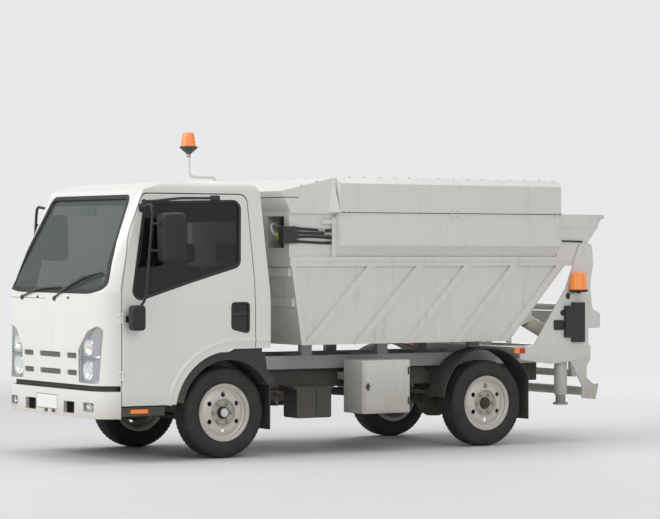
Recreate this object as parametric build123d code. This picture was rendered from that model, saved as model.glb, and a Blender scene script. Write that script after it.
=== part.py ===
from build123d import *
import math
import os

# Narrow cab-over garbage truck with a tipping tub, in millimetres.
# +X is forward, +Y is left, +Z is up. Positions along X are counted from the front axle here,
# and every piece is moved by ORIGIN_SHIFT when it is written, to the middle of the overall length.
# What lies behind the rear axle is placed from REAR_X, so it follows the wheelbase.

# Running gear
WHEELBASE = 2490
REAR_X = -WHEELBASE
WHEEL_Y = 680
TYRE_RADIUS = 352
TYRE_WIDTH = 200
TREAD_DEPTH = 22
RIM_SEAT_RADIUS = 205
RIM_FLANGE_RADIUS = 223
RIM_WIDTH = 176
RIM_GAUGE = 8
RIM_VENTS = 6
VENT_CIRCLE = 138
VENT_RADIUS = 19
STUD_CIRCLE = 79
STUD_RADIUS = 10
HUB_RADIUS = 50
HUB_END_FRONT = 92
HUB_END_REAR = 78
KINGPIN_Y = 600
KINGPIN_RADIUS = 18
SPINDLE_RADIUS = 25
SPINDLE_PAST_WHEEL = 45
EAR_HALF_X = 30
EAR_REACH = 92
EAR_PLATE = 26
EAR_TIP = 28
BRAKE_PLATE_Y = (46, 58)
BRAKE_PLATE_RADIUS = 140
STEERING_ARM = 130
STEERING_PIN_RADIUS = 9
OPEN_EYE_RADIUS = 12
TIE_ROD_RADIUS = 14
TIE_ROD_Z = 262
SPRING_WIDTH = 60
SPRING_Y = 322
FRONT_SPRING_HALF = 470
REAR_SPRING_HALF = 560
LEAF_SHARES = (1.0, 0.78, 0.56, 0.34)
LEAF_GAUGE = 10
AXLE_TUBE_RADIUS = 45
AXLE_BOWL_RADIUS = 150
AXLE_NOSE = 230
DRUM_Y = (540, 615)
SHAFT_RADIUS = 32

# Chassis
RAIL_OUTER_Y = 365
RAIL_FLANGE = 60
RAIL_GAUGE = 6
RAIL_TOP = 655
RAIL_HEIGHT = 150
RAIL_BOTTOM = RAIL_TOP - RAIL_HEIGHT
RAIL_FRONT_X = 800
RAIL_REAR_X = REAR_X - 810
CROSS_MEMBERS = (700, -665, -1050, -1650, REAR_X + 440, REAR_X - 410, REAR_X - 750)
CROSS_MEMBER_RADIUS = 38
SUBFRAME_TOP = 760
SUBFRAME_OUTER_Y = 420
SUBFRAME_WIDTH = 70
SUBFRAME_INNER_Y = SUBFRAME_OUTER_Y - SUBFRAME_WIDTH
SUBFRAME_FRONT_X = -480
SUBFRAME_REAR_X = REAR_X - 350
SUBFRAME_MEMBERS = (-560, -1200, -1850, REAR_X - 10)
TUB_RESTS = (-970, -1700, REAR_X - 130)
ENGINE_X = (-300, 340)
ENGINE_Z = (470, 880)
GEARBOX_REAR_X = -615
TOW_EYE_BORE = 18
TOW_EYE_RADIUS = 34
TOW_EYE_DEPTH = 22
SILENCER_X = (-1620, -1000)
SILENCER_Y = -480
SILENCER_Z = 440
SILENCER_RADIUS = 95
PIPE_RADIUS = 24
TANK_X = (-1480, -760)
TANK_Y = (-815, -600)
TANK_Z = (300, 620)
BATTERY_X = (-1020, -700)
BATTERY_Y = (500, 700)
BATTERY_Z = (280, 530)
CABINET_X = (-1681, -1229)
CABINET_Y = (560, 832)
CABINET_Z = (305, 728)
MUDGUARD_RADIUS = 455
MUDGUARD_GAUGE = 7
MUDGUARD_HALF_WIDTH = 115
FLAP_BOTTOM = 210
FRONT_FLAP_X = (-400, -392)

# Cab
CAB_HALF_WIDTH = 847.5
ROOF_HALF_WIDTH = CAB_HALF_WIDTH - 99.5
CAB_FRONT_X = 1110
CAB_REAR_X = -367
CAB_WALL = 38
CAB_CORNER = 230
DOOR_BOTTOM = 431
PANEL_BOTTOM = 583
WAIST_Z = 1285
ROOF_TOP = 2140
GUTTER_Z = 2038
ARCH_RADIUS = 475
CAB_SILL_Z = 846
DOOR_FRONT_X = 930
DOOR_REAR_X = -227
DOOR_GAP = 4
DOOR_INNER_Y = CAB_HALF_WIDTH - 157.5
HINGE_RADIUS = 5
HINGE_SPANS = ((620, 700), (1050, 1130))
HINGE_KNUCKLE = 20
GLASS_INSET = 12
GLASS_THICKNESS = 5
WINDOW_RISE = 767
WINDOW_RUN = -350
CAB_PIVOT_X = 950
CAB_PIVOT_Z = 500
CAB_PIVOT_Y = 330
CAB_PIVOT_RADIUS = 16
FLOOR_Z = 690
DECK_Z = 905
DECK_FRONT_X = 400
FLOOR_GAUGE = 12
BUMPER_BOTTOM = 335
BUMPER_TOP = 540
BUMPER_WALL = 35
BACKING_GAUGE = 12
LAMP_REAR_X = 950
LAMP_Y = CAB_HALF_WIDTH - 107.5
GRILLE_OUTER_Y = LAMP_Y - 295
SCREEN_FOOT_Y = CAB_HALF_WIDTH - 72.5
SCREEN_HEAD_Y = CAB_HALF_WIDTH - 215.5
LAMP_DEPTH = 60
LAMP_INSET = 3
LAMP_SPLIT_Z = (783, 789)
STEERING_WHEEL = (640, 380, 1190)
STEERING_WHEEL_RADIUS = 190
COLUMN_FOOT = (900, 380, 980)
SEATS_Y = ((160, 640), (-660, 100))
MIRROR_Y = CAB_HALF_WIDTH + 107.5
MIRROR_TUBE_RADIUS = 11
BEACON_X = 224
BEACON_Y = ROOF_HALF_WIDTH - 148
BEACON_POLE_RADIUS = 13
BEACON_CLAMP_RADIUS = 17
POLE_FOOT_X = -14
POLE_RUN_Z = ROOF_TOP + 28
BEACON_Z = POLE_RUN_Z + 148

# Tub body
PIVOT_X = REAR_X - 990
PIVOT_Z = 1585
PIVOT_PIN_RADIUS = 25
PIVOT_BOSS_RADIUS = 60
TUB_FLOOR_Z = 857
TUB_TOP_Z = 1476
TUB_FRONT_TOP_X = -594
TUB_FRONT_FOOT_X = -713
TUB_REAR_FOOT_X = REAR_X - 260
TUB_REAR_TOP_X = REAR_X - 800
TUB_TOP_Y = 765
TUB_FOOT_Y = 725
TUB_PLATE = 8
RIB_WIDTH = 70
RIB_DEPTH = 25
RIB_COUNT = 5
RIB_FOOT_X = (-797, REAR_X - 222)
RIB_HEAD_X = (-1373, REAR_X - 765)
FRONT_STRIP_WIDTH = 42
WALL_RIBS_Z = ((1162, 1231), (1400, 1460))
WALL_RIB_DEPTH = 22
TUB_RAIL_TOP_Z = 1551
TUB_OUTER_Y = 790
RAIL_DEPTH_Y = 45
RAIL_GROOVE_Z = (1508, 1514)
RAIL_GROOVE_DEPTH = 4
BODY_RAIL_FRONT_X = -582
BODY_RAIL_REAR_X = REAR_X - 885
COVER_Y = 860
COVER_FRONT_X = -1004
COVER_REAR_X = REAR_X - 691
COVER_TOP_Z = 2180
COVER_GAUGE = 12
COVER_SEAM_Z = 1901
COVER_SEAM_STEP = 5
COVER_BEVEL_WIDTH = 60
COVER_BEVEL_HEIGHT = 50
COVER_CHAMFER_WIDTH = 80
COVER_CHAMFER_HEIGHT = 90
HOOD_INNER_Y = 765
HOOD_FRONT_X = -584
HOOD_BROW = (-498, 2064)
HOOD_PEAK_X = -957
HOOD_FACET_X = -926
HOOD_OPENING_DEPTH = 130
HOOD_OPENING_Y = (430, 690)
HOOD_OPENING_Z = (1621, 1870)
HOSE_RADIUS = 11
HOSE_HEIGHTS = (1672, 1706, 1740, 1774)
HOSE_BLOCK_X = (-640, -520)
HOSE_POST_X = (-1003, -967)
HOPPER_TOP_Z = 1904
LIP_X = REAR_X - 1200
LIP_RADIUS = 18
BLADE_X = REAR_X - 530
BLADE_Z = 1800
BLADE_LENGTH = 590
BLADE_HALF_WIDTH = 690
BLADE_TUBE_RADIUS = 45

# Rear frame and bin lifter
GUSSET_INNER_Y = 797
GUSSET_GAUGE = 12
GUSSET_OUTER_Y = GUSSET_INNER_Y + GUSSET_GAUGE
REAR_BEAM_X = (REAR_X - 980, REAR_X - 880)
REAR_BEAM_Z = (700, 800)
PLATE_PAD = 8
PLATE_PAD_HALF = 265
UNDERRUN_X = REAR_X - 1055
UNDERRUN_Z = 420
UNDERRUN_RADIUS = 38
LEG_X = REAR_X - 827
LEG_Y = 680
LEG_RADIUS = 42
LEG_TUBE_RADIUS = 55
LEG_TUBE_Z = (395, 806)
LEG_Z = (330, 780)
LEG_FOOT_RADIUS = 62
LEG_FOOT_GAUGE = 18
TAIL_LAMP_Y = (560, 740)
TAIL_LAMP_Z = (710, 790)
TAIL_LAMP_DEPTH = 40
REAR_BEACON_X = REAR_X - 850
REAR_BEACON_Z = 1246
REAR_BEACON_RADIUS = 80
REAR_BEACON_HEIGHT = 180
SHELF_HALF = 28
SHELF_GAUGE = 8
HOUSING_DEPTH = 30
HOUSING_TOP_Z = 1169
LIFTER_X = REAR_X - 1030
LIFTER_Z = 1320
LIFTER_ARM_Y = (720, 745)
LIFTER_PIN_RADIUS = 25
COMB_X = REAR_X - 1110
COMB_TEETH = 19
COMB_PITCH = 66

# Tipping cylinders
CYLINDER_Y = 550
CYLINDER_BASE = (REAR_X - 910, 840)
CYLINDER_EYE = (REAR_X - 510, 1040)
CYLINDER_RADII = (58, 48, 38, 28)
CYLINDER_PIN_RADIUS = 18
BORE_CLEARANCE = 0.5
EAR_GAP = 134
EAR_GAUGE = 12

# Clearances
RUNNING = 0.3
MOVING = 6

# A length that reaches past the truck, for cutting
BEYOND = 2000

OVERALL_FRONT = CAB_FRONT_X + 2
OVERALL_REAR = LIP_X
ORIGIN_SHIFT = -(OVERALL_FRONT + OVERALL_REAR) / 2


def block(x, y, z):
    """A box between the low and high values of x, y and z."""
    size = [high - low for low, high in (x, y, z)]
    middle = [(high + low) / 2 for low, high in (x, y, z)]
    return Pos(*middle) * Box(*size)


def around(middle, half):
    """The low and high values that lie half to each side of the middle."""
    return (middle - half, middle + half)


def outline(points):
    """A flat face from rows of (across, up, corner radius)."""
    corners = [(across, up) for across, up, radius in points]
    radii = [radius for across, up, radius in points]
    return make_face(FilletPolyline(*corners, radius=radii, close=True))


def sharp(points):
    """The rows of an outline whose corners are all sharp."""
    return [(across, up, 0) for across, up in points]


def oblong(across, up, radius):
    """The rows of a rectangle with rounded corners."""
    corners = ((across[0], up[0]), (across[1], up[0]), (across[1], up[1]), (across[0], up[1]))
    return [(corner[0], corner[1], radius) for corner in corners]


def behind_rear_axle(points):
    """Rows whose first value is counted from the rear axle, moved to the common origin."""
    return [(REAR_X + row[0],) + tuple(row[1:]) for row in points]


def side_prism(points, y):
    """Rows of (x, z, corner radius), drawn out between two values of y."""
    return extrude(Plane.XZ.offset(-y[0]) * outline(points), amount=y[1] - y[0], dir=(0, 1, 0))


def front_prism(points, x):
    """Rows of (y, z, corner radius), drawn out between two values of x."""
    return extrude(Plane.YZ.offset(x[0]) * outline(points), amount=x[1] - x[0], dir=(1, 0, 0))


def plan_prism(points, z):
    """Rows of (x, y, corner radius), drawn out between two values of z."""
    return extrude(Plane.XY.offset(z[0]) * outline(points), amount=z[1] - z[0], dir=(0, 0, 1))


def rod(start, end, radius):
    """A round bar from one point to another."""
    run = Vector(*end) - Vector(*start)
    return Plane(origin=start, z_dir=run) * Cylinder(
        radius, run.length, align=(Align.CENTER, Align.CENTER, Align.MIN)
    )


def bar_y(x, y, z, radius):
    """A round bar along Y between two values of y."""
    return rod((x, y[0], z), (x, y[1], z), radius)


def bent_bar(points, radius, bend):
    """A round bar that follows its points with rounded bends."""
    path = FilletPolyline(*points, radius=bend)
    return sweep(Plane(origin=path @ 0, z_dir=path % 0) * Circle(radius), path=path)


def both(shape):
    """A left piece and its mirror image on the right."""
    return [shape, mirror(shape, about=Plane.XZ)]


def on_side(shape, side):
    """A left piece as it is, or mirrored where side is -1."""
    return shape if side > 0 else mirror(shape, about=Plane.XZ)


def fused(pieces):
    """One solid from several that overlap or touch."""
    whole = pieces[0]
    for piece in pieces[1:]:
        whole = whole + piece
    return whole


def save(node, pieces):
    """Writes one node, moved to the middle of the overall length."""
    solids = []
    for piece in pieces:
        solids.extend((Pos(ORIGIN_SHIFT, 0, 0) * piece).solids())
    export_step(Compound(children=solids), "parts/" + node + ".step")


# Chassis

def chassis_frame():
    """Two channel rails, their tube members, the cab's pivot brackets and the front towing eye."""
    z = (RAIL_BOTTOM, RAIL_TOP)
    inner = RAIL_OUTER_Y - RAIL_FLANGE
    web = RAIL_OUTER_Y - RAIL_GAUGE
    rail = block((RAIL_REAR_X, RAIL_FRONT_X), (inner, RAIL_OUTER_Y), z)
    rail -= block(
        (RAIL_REAR_X - 1, RAIL_FRONT_X + 1), (inner - 1, web), (z[0] + RAIL_GAUGE, z[1] - RAIL_GAUGE)
    )
    pieces = both(rail)
    middle = (z[0] + z[1]) / 2
    for x in CROSS_MEMBERS:
        pieces.append(bar_y(x, (-web - 1, web + 1), middle + 20, CROSS_MEMBER_RADIUS))
    bracket_y = (web, web + 20)
    bracket = side_prism(
        [
            (RAIL_FRONT_X - 90, z[1], 0),
            (RAIL_FRONT_X - 90, z[0], 0),
            (CAB_PIVOT_X - 20, CAB_PIVOT_Z - 40, 20),
            (CAB_PIVOT_X + 40, CAB_PIVOT_Z - 40, 30),
            (CAB_PIVOT_X + 40, CAB_PIVOT_Z + 40, 30),
            (RAIL_FRONT_X + 20, z[1], 20),
        ],
        bracket_y,
    )
    bracket -= bar_y(CAB_PIVOT_X, (0, BEYOND), CAB_PIVOT_Z, CAB_PIVOT_RADIUS + RUNNING)
    pieces += both(bracket)
    pieces.append(block((RAIL_FRONT_X - 60, RAIL_FRONT_X), (-web, web), (z[0] + 20, z[1] - 20)))
    eye_x = RAIL_FRONT_X + 85
    eye = rod((RAIL_FRONT_X - 5, 0, middle), (eye_x - TOW_EYE_BORE - 5, 0, middle), TOW_EYE_BORE)
    eye += Pos(eye_x, 0, middle) * Cylinder(TOW_EYE_RADIUS, TOW_EYE_DEPTH)
    eye -= Pos(eye_x, 0, middle) * Cylinder(TOW_EYE_BORE, 4 * TOW_EYE_DEPTH)
    pieces.append(eye)
    return [fused(pieces)]


def subframe():
    """The two beams on the rails, their cross members, and the rests under the tub."""
    z = (RAIL_TOP, SUBFRAME_TOP)
    pieces = both(block((SUBFRAME_REAR_X, SUBFRAME_FRONT_X), (SUBFRAME_INNER_Y, SUBFRAME_OUTER_Y), z))
    for x in SUBFRAME_MEMBERS:
        pieces.append(
            block(around(x, 40), (-SUBFRAME_INNER_Y - 5, SUBFRAME_INNER_Y + 5), (z[0] + 15, z[1] - 15))
        )
    for x in TUB_RESTS:
        rest_y = (SUBFRAME_INNER_Y + 10, SUBFRAME_OUTER_Y - 10)
        pieces += both(block(around(x, 50), rest_y, (z[1] - 1, TUB_FLOOR_Z)))
    return [fused(pieces)]


def spring(x, half_length):
    """A leaf pack with its curved main leaf, its short leaves, and its two hangers."""
    eye_z = RAIL_BOTTOM - 46
    seat_z = TYRE_RADIUS + 28
    main_leaf_z = seat_z + 36
    y = around(SPRING_Y, SPRING_WIDTH / 2)
    bend = half_length * 3
    pieces = []
    for number, share in enumerate(LEAF_SHARES):
        low = main_leaf_z - number * (LEAF_GAUGE - 1)
        rise = (eye_z - 6 - main_leaf_z) * share * share
        end = half_length * share
        pieces.append(
            side_prism(
                [
                    (x - end, low + rise, 0),
                    (x, low, bend * share),
                    (x + end, low + rise, 0),
                    (x + end, low + rise + LEAF_GAUGE, 0),
                    (x, low + LEAF_GAUGE, bend * share),
                    (x - end, low + rise + LEAF_GAUGE, 0),
                ],
                y,
            )
        )
    for end_x in around(x, half_length):
        pieces.append(bar_y(end_x, y, eye_z, 18))
        pieces.append(block(around(end_x, 14), y, (eye_z, RAIL_BOTTOM)))
    pieces.append(block(around(x, 55), y, (seat_z - 4, seat_z + 40)))
    return fused(pieces)


def front_axle():
    """The beam with its two forked ends, the kingpins in them, and the leaf springs."""
    low, high = around(TYRE_RADIUS, EAR_REACH)
    root = (KINGPIN_Y - 100, KINGPIN_Y - 72)
    x = around(0, EAR_HALF_X)
    fork = block(x, root, (low, high))
    for z in (low, high - EAR_PLATE):
        fork += block(x, (root[0], KINGPIN_Y + EAR_TIP), (z, z + EAR_PLATE))
    fork += rod((0, KINGPIN_Y, low), (0, KINGPIN_Y, high), KINGPIN_RADIUS)
    beam = block(x, (-root[1], root[1]), (TYRE_RADIUS - 35, TYRE_RADIUS + 28))
    return [fused([beam] + both(fork))] + both(spring(0, FRONT_SPRING_HALF))


def rear_axle():
    """The tube with its bowl, drums and stub ends, the leaf springs, and the drive shaft."""
    nose_z = TYRE_RADIUS + 25
    tube = bar_y(REAR_X, around(0, WHEEL_Y - 60), TYRE_RADIUS, AXLE_TUBE_RADIUS)
    bowl = Pos(REAR_X, 0, TYRE_RADIUS) * Sphere(AXLE_BOWL_RADIUS)
    bowl = bowl & block(around(REAR_X, AXLE_BOWL_RADIUS), (-110, 110), around(TYRE_RADIUS, 140))
    nose = rod((REAR_X, 0, TYRE_RADIUS + 10), (REAR_X + AXLE_NOSE + 10, 0, nose_z), 55)
    nose = nose & block((REAR_X, REAR_X + AXLE_NOSE), (-100, 100), (0, BEYOND))
    pieces = [tube, bowl, nose]
    pieces += both(bar_y(REAR_X, DRUM_Y, TYRE_RADIUS, AXLE_BOWL_RADIUS))
    pieces += both(bar_y(REAR_X, (DRUM_Y[1] - 15, WHEEL_Y + SPINDLE_PAST_WHEEL), TYRE_RADIUS, SPINDLE_RADIUS))
    pieces += both(block(around(REAR_X, 50), around(SPRING_Y, 35), (TYRE_RADIUS, TYRE_RADIUS + 24)))
    shaft = rod((REAR_X + AXLE_NOSE - 20, 0, nose_z), (GEARBOX_REAR_X + 20, 0, 520), SHAFT_RADIUS)
    shaft = shaft & block((REAR_X + AXLE_NOSE, GEARBOX_REAR_X), (-100, 100), (0, BEYOND))
    return [fused(pieces)] + both(spring(REAR_X, REAR_SPRING_HALF)) + [shaft]


def engine_block():
    """Engine and gearbox as one plain block on four mounts."""
    web = RAIL_OUTER_Y - RAIL_GAUGE
    body = block(ENGINE_X, (-230, 230), ENGINE_Z)
    box = block((GEARBOX_REAR_X, ENGINE_X[0] + 1), (-120, 120), (480, 660))
    mounts = [block(around(x, 30), (-web, web), (570, 630)) for x in (250, -220)]
    return [fused([body, box] + mounts)]


def exhaust():
    """The front pipe, the silencer and the tail pipe, hung from the right rail."""
    front_x, rear_x = SILENCER_X[1], SILENCER_X[0]
    z = SILENCER_Z
    pipe = bent_bar([(-150, -250, z), (-700, -250, z), (front_x, SILENCER_Y, z)], PIPE_RADIUS, 100)
    silencer = rod((front_x, SILENCER_Y, z), (rear_x, SILENCER_Y, z), SILENCER_RADIUS)
    tail = rod((rear_x + 20, SILENCER_Y, z), (rear_x - 230, SILENCER_Y, z - 20), PIPE_RADIUS)
    hanger_y = (SILENCER_Y - 15, -RAIL_OUTER_Y)
    hangers = [block(around(x, 15), hanger_y, (520, 560)) for x in (-1150, -1480)]
    return [fused([pipe, silencer, tail] + hangers)]


def fuel_tank():
    """The tank on the right with its filler cap and the two arms that carry it."""
    tank = side_prism(oblong(TANK_X, TANK_Z, 60), TANK_Y)
    arms = [block(around(x, 25), (TANK_Y[1] - 5, -RAIL_OUTER_Y), (545, 605)) for x in (-900, -1340)]
    cap = Pos(TANK_X[1] - 90, -700, TANK_Z[1] + 8) * Cylinder(38, 30)
    return [fused([tank, cap] + arms)]


def battery_box():
    """The two-cell battery box on the left with its two arms."""
    box = side_prism(oblong(BATTERY_X, BATTERY_Z, 20), BATTERY_Y)
    middle = (BATTERY_X[0] + BATTERY_X[1]) / 2 - 20
    box -= block(around(middle, 3), (BATTERY_Y[1] - 8, BEYOND), BATTERY_Z)
    tray = block(around(middle + 20, 185), BATTERY_Y, (BATTERY_Z[1] - 22, BATTERY_Z[1]))
    arms = [block(around(x, 20), (RAIL_OUTER_Y, BATTERY_Y[0] + 5), (480, 525)) for x in (-760, -960)]
    return [fused([box, tray] + arms)]


def side_cabinet():
    """The steel cabinet on the left with its flat door, on two arms."""
    edge = 14
    door_x = (CABINET_X[0] + edge, CABINET_X[1] - edge)
    door_z = (CABINET_Z[0] + edge, CABINET_Z[1] - edge)
    box = side_prism(oblong(CABINET_X, CABINET_Z, edge), CABINET_Y)
    door = side_prism(oblong(door_x, door_z, edge + 4), (CABINET_Y[1] - 2, CABINET_Y[1] + 8))
    arms = [block(around(x, 25), (RAIL_OUTER_Y, CABINET_Y[0] + 5), (560, 620)) for x in (-1320, -1590)]
    return [fused([box, door] + arms)]


def mudguards():
    """The rear arches with their flaps, and the flaps behind the front wheels."""
    width = around(WHEEL_Y, MUDGUARD_HALF_WIDTH)
    ring = Cylinder(MUDGUARD_RADIUS, 2 * MUDGUARD_HALF_WIDTH)
    ring -= Cylinder(MUDGUARD_RADIUS - MUDGUARD_GAUGE, 2 * MUDGUARD_HALF_WIDTH + 2)
    band = Pos(REAR_X, WHEEL_Y, TYRE_RADIUS) * Rot(90, 0, 0) * ring
    band = band & block((REAR_X - 405, REAR_X + 500), (0, BEYOND), (TYRE_RADIUS + 60, BEYOND))
    flap = block((REAR_X - 408, REAR_X - 400), width, (FLAP_BOTTOM, 560))
    stay_y = (RAIL_OUTER_Y, WHEEL_Y - 100)
    stays = [block(around(REAR_X + x, 15), stay_y, around(640, 15)) for x in (320, -320)]
    front_flap = block(FRONT_FLAP_X, around(WHEEL_Y, 110), (FLAP_BOTTOM, 590))
    front_stay = block(around(FRONT_FLAP_X[0] + 10, 15), (RAIL_OUTER_Y, WHEEL_Y + 90), (575, 600))
    return both(fused([band, flap] + stays)) + both(fused([front_flap, front_stay]))


# Wheels and steering

def rim(front):
    """A pressed rim with a dished disc, six vent holes, and its hub, seen with the outside at +Y."""
    half = RIM_WIDTH / 2
    seat = RIM_SEAT_RADIUS
    flange = RIM_FLANGE_RADIUS
    gauge = RIM_GAUGE
    well = seat - 14
    bore = SPINDLE_RADIUS + RUNNING
    section = sharp([
        (-half, flange), (-half + gauge, flange), (-half + 12, seat), (-half + 30, seat), (-30, well),
        (40, well), (half - 30, seat), (half - 12, seat), (half - gauge, flange), (half, flange),
        (half, flange - 7), (half - 7, seat - gauge), (half - 30, seat - gauge), (52, well - gauge),
        (66, 148), (70, 104), (56, 92), (56, bore), (-10, bore), (-10, 62), (46, 70), (46, 100),
        (60, 110), (56, 146), (40, well - gauge), (-30, well - gauge), (-half + 30, seat - gauge),
        (-half + 7, seat - gauge), (-half, flange - 7),
    ])
    body = revolve(Plane.YZ * outline(section), axis=Axis.Y)
    for number in range(RIM_VENTS):
        body -= Rot(0, 60 * number, 0) * bar_y(0, (30, 90), VENT_CIRCLE, VENT_RADIUS)
    stud = bar_y(0, (55, 70), STUD_CIRCLE, STUD_RADIUS)
    studs = [Rot(0, 60 * number + 30, 0) * stud for number in range(6)]
    hub_end = HUB_END_FRONT if front else HUB_END_REAR
    cap_section = [(56, 0, 0), (hub_end, 0, 0), (hub_end, HUB_RADIUS - 6, 12), (56, HUB_RADIUS, 0)]
    cap = revolve(Plane.YZ * outline(cap_section), axis=Axis.Y)
    cap -= bar_y(0, (55, 62), 0, bore)
    return fused([body, cap] + studs)


def tyre():
    """A filled tyre: tread, shoulders, and sidewalls that come down to the rim."""
    half = TYRE_WIDTH / 2
    bead = RIM_SEAT_RADIUS + RUNNING
    bulge = 288
    wall = [
        (-72, bead, 0), (72, bead, 0), (78, RIM_FLANGE_RADIUS + 3, 0),
        (half - 6, RIM_FLANGE_RADIUS + 8, 10), (half, bulge, 60), (half - 14, TYRE_RADIUS - 4, 14),
        (-half + 14, TYRE_RADIUS - 4, 14), (-half, bulge, 60), (-half + 6, RIM_FLANGE_RADIUS + 8, 10),
        (-78, RIM_FLANGE_RADIUS + 3, 0),
    ]
    low = TYRE_RADIUS - TREAD_DEPTH
    crown = [
        (-half + 20, low, 0), (half - 20, low, 0), (half - 24, TYRE_RADIUS, 8),
        (-half + 24, TYRE_RADIUS, 8),
    ]
    return revolve(Plane.YZ * outline(wall), axis=Axis.Y) + revolve(Plane.YZ * outline(crown), axis=Axis.Y)


def knuckle(side):
    """The steering knuckle: its upright on the kingpin, the spindle, the brake plate and the arm."""
    z = around(TYRE_RADIUS, EAR_REACH - EAR_PLATE - 1)
    arm_x = -STEERING_ARM
    upright = block((-38, 38), (-32, 32), z)
    spindle_end = WHEEL_Y - KINGPIN_Y + SPINDLE_PAST_WHEEL
    spindle = rod((0, 0, TYRE_RADIUS), (0, spindle_end, TYRE_RADIUS), SPINDLE_RADIUS)
    collar = rod((0, 20, TYRE_RADIUS), (0, BRAKE_PLATE_Y[1] + 2, TYRE_RADIUS), 45)
    plate = rod((0, BRAKE_PLATE_Y[0], TYRE_RADIUS), (0, BRAKE_PLATE_Y[1], TYRE_RADIUS), BRAKE_PLATE_RADIUS)
    arm_end = arm_x - 20
    arm_rows = [(-20, z[0] + 5), (-20, z[0] + 35), (arm_end, TIE_ROD_Z + 50), (arm_end, TIE_ROD_Z + 24)]
    arm = side_prism(sharp(arm_rows), (-14, 14))
    pin = rod((arm_x, 0, TIE_ROD_Z - 20), (arm_x, 0, TIE_ROD_Z + 40), STEERING_PIN_RADIUS)
    piece = fused([upright, spindle, collar, plate, arm, pin])
    piece -= rod((0, 0, z[0] - 1), (0, 0, z[1] + 1), KINGPIN_RADIUS + RUNNING)
    return on_side(Pos(0, KINGPIN_Y, 0) * piece, side)


def tie_rod():
    """The rod between the steering arms. Its right eye is open by 3 mm and follows the steering."""
    eye_radius = 22
    body = bar_y(-STEERING_ARM, around(0, KINGPIN_Y - 12), TIE_ROD_Z, TIE_ROD_RADIUS)
    eyes = both(Pos(-STEERING_ARM, KINGPIN_Y, TIE_ROD_Z) * Cylinder(eye_radius, 30))
    piece = fused([body] + eyes)
    for side, bore in ((1, STEERING_PIN_RADIUS + RUNNING), (-1, OPEN_EYE_RADIUS)):
        piece -= Pos(-STEERING_ARM, side * KINGPIN_Y, TIE_ROD_Z) * Cylinder(bore, 60)
    return [piece]


# Cab

CAB_SIDE = [
    # x, z, corner radius
    (CAB_FRONT_X - 15, 300, 0),
    (CAB_FRONT_X + 2, 860, 900),
    (CAB_FRONT_X - 22, WAIST_Z, 90),
    (738, 2052, 110),
    (500, 2122, 300),
    (80, ROOF_TOP, 600),
    (-318, ROOF_TOP - 35, 80),
    (CAB_REAR_X, 1300, 600),
    (CAB_REAR_X, 300, 0),
]
CAB_FRONT_VIEW = [
    # y, z, corner radius
    (-CAB_HALF_WIDTH, 200, 0),
    (CAB_HALF_WIDTH, 200, 0),
    (CAB_HALF_WIDTH, 1190, 700),
    (ROOF_HALF_WIDTH, ROOF_TOP + 2, 95),
    (-ROOF_HALF_WIDTH, ROOF_TOP + 2, 95),
    (-CAB_HALF_WIDTH, 1190, 700),
]
DOOR_WINDOW = [
    (852, 1207, 60), (700, 1962, 55), (-138, 1982, 60), (-106, 1482, 60), (330, 1362, 200),
]
WINDSCREEN = [
    (-SCREEN_FOOT_Y, 1312, 60), (-600, 1290, 900), (600, 1290, 900), (SCREEN_FOOT_Y, 1312, 60),
    (SCREEN_HEAD_Y, 2008, 60), (-SCREEN_HEAD_Y, 2008, 60),
]
REAR_WINDOW = oblong((-430, 430), (1440, 1840), 50)
HANDLE_RECESS = [(-172, 964, 25), (-20, 1000, 25), (-20, 1197, 25), (-172, 1197, 25)]
LAMP_OUTLINE = [
    (LAMP_Y - 270, 598, 25), (LAMP_Y, 598, 20), (LAMP_Y + 28, 1000, 30), (LAMP_Y - 5, 1034, 30),
    (LAMP_Y - 140, 985, 40), (LAMP_Y - 262, 850, 40),
]
GRILLE_ROWS = ((780, 822), (650, 692))
GRILLE_COLUMNS = (
    (270 - GRILLE_OUTER_Y, GRILLE_OUTER_Y - 270), (-GRILLE_OUTER_Y, 160 - GRILLE_OUTER_Y),
    (GRILLE_OUTER_Y - 160, GRILLE_OUTER_Y),
)
BUMPER_OPENINGS = [
    # y low, y high, z low, z high
    (235, 415, 362, 452),
    (30, 95, 352, 380),
    (560, 700, 385, 455),
]


def cab_form(inset):
    """The cab's outer form, moved inwards by inset, from its side, front and plan outlines. Its left
    half is built and then mirrored, so both sides are alike."""
    side_face = offset(outline(CAB_SIDE), -inset) if inset else outline(CAB_SIDE)
    front_face = offset(outline(CAB_FRONT_VIEW), -inset) if inset else outline(CAB_FRONT_VIEW)
    half = CAB_HALF_WIDTH - inset
    front = CAB_FRONT_X + 2 - inset
    corner = CAB_CORNER - inset
    plan_points = [(front, -half, corner), (front, half, corner), (-1500, half, 0), (-1500, -half, 0)]
    side = extrude(Plane.XZ * side_face, amount=1000, dir=(0, 1, 0))
    front_view = extrude(Plane.YZ.offset(-1600) * front_face, amount=2 * BEYOND, dir=(1, 0, 0))
    lower = plan_prism(plan_points, (200, WAIST_Z))
    lean = Vector(WINDOW_RUN, 0, WINDOW_RISE)
    reach = lean.length * (ROOF_TOP + 10 - WAIST_Z) / WINDOW_RISE
    upper = extrude(Plane.XY.offset(WAIST_Z) * outline(plan_points), amount=reach, dir=lean.normalized())
    return fused(both(side & front_view & (lower + upper)))


def door_outline(gap):
    """The door's edge in side view, moved out by gap."""
    head_z = GUTTER_Z - 8 + gap
    notch_x = -20 - gap
    return [
        (DOOR_FRONT_X + gap, DOOR_BOTTOM - gap, 0),
        (DOOR_FRONT_X + gap, 1300, 400),
        (844 + gap, 1715, 600),
        (712 + gap, head_z, 60),
        (-196 - gap, head_z, 70),
        (DOOR_REAR_X - gap, 1400, 900),
        (DOOR_REAR_X - gap, CAB_SILL_Z - gap, 0),
        (notch_x, CAB_SILL_Z - gap, 0),
        (notch_x, DOOR_BOTTOM - gap, 0),
    ]


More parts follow.
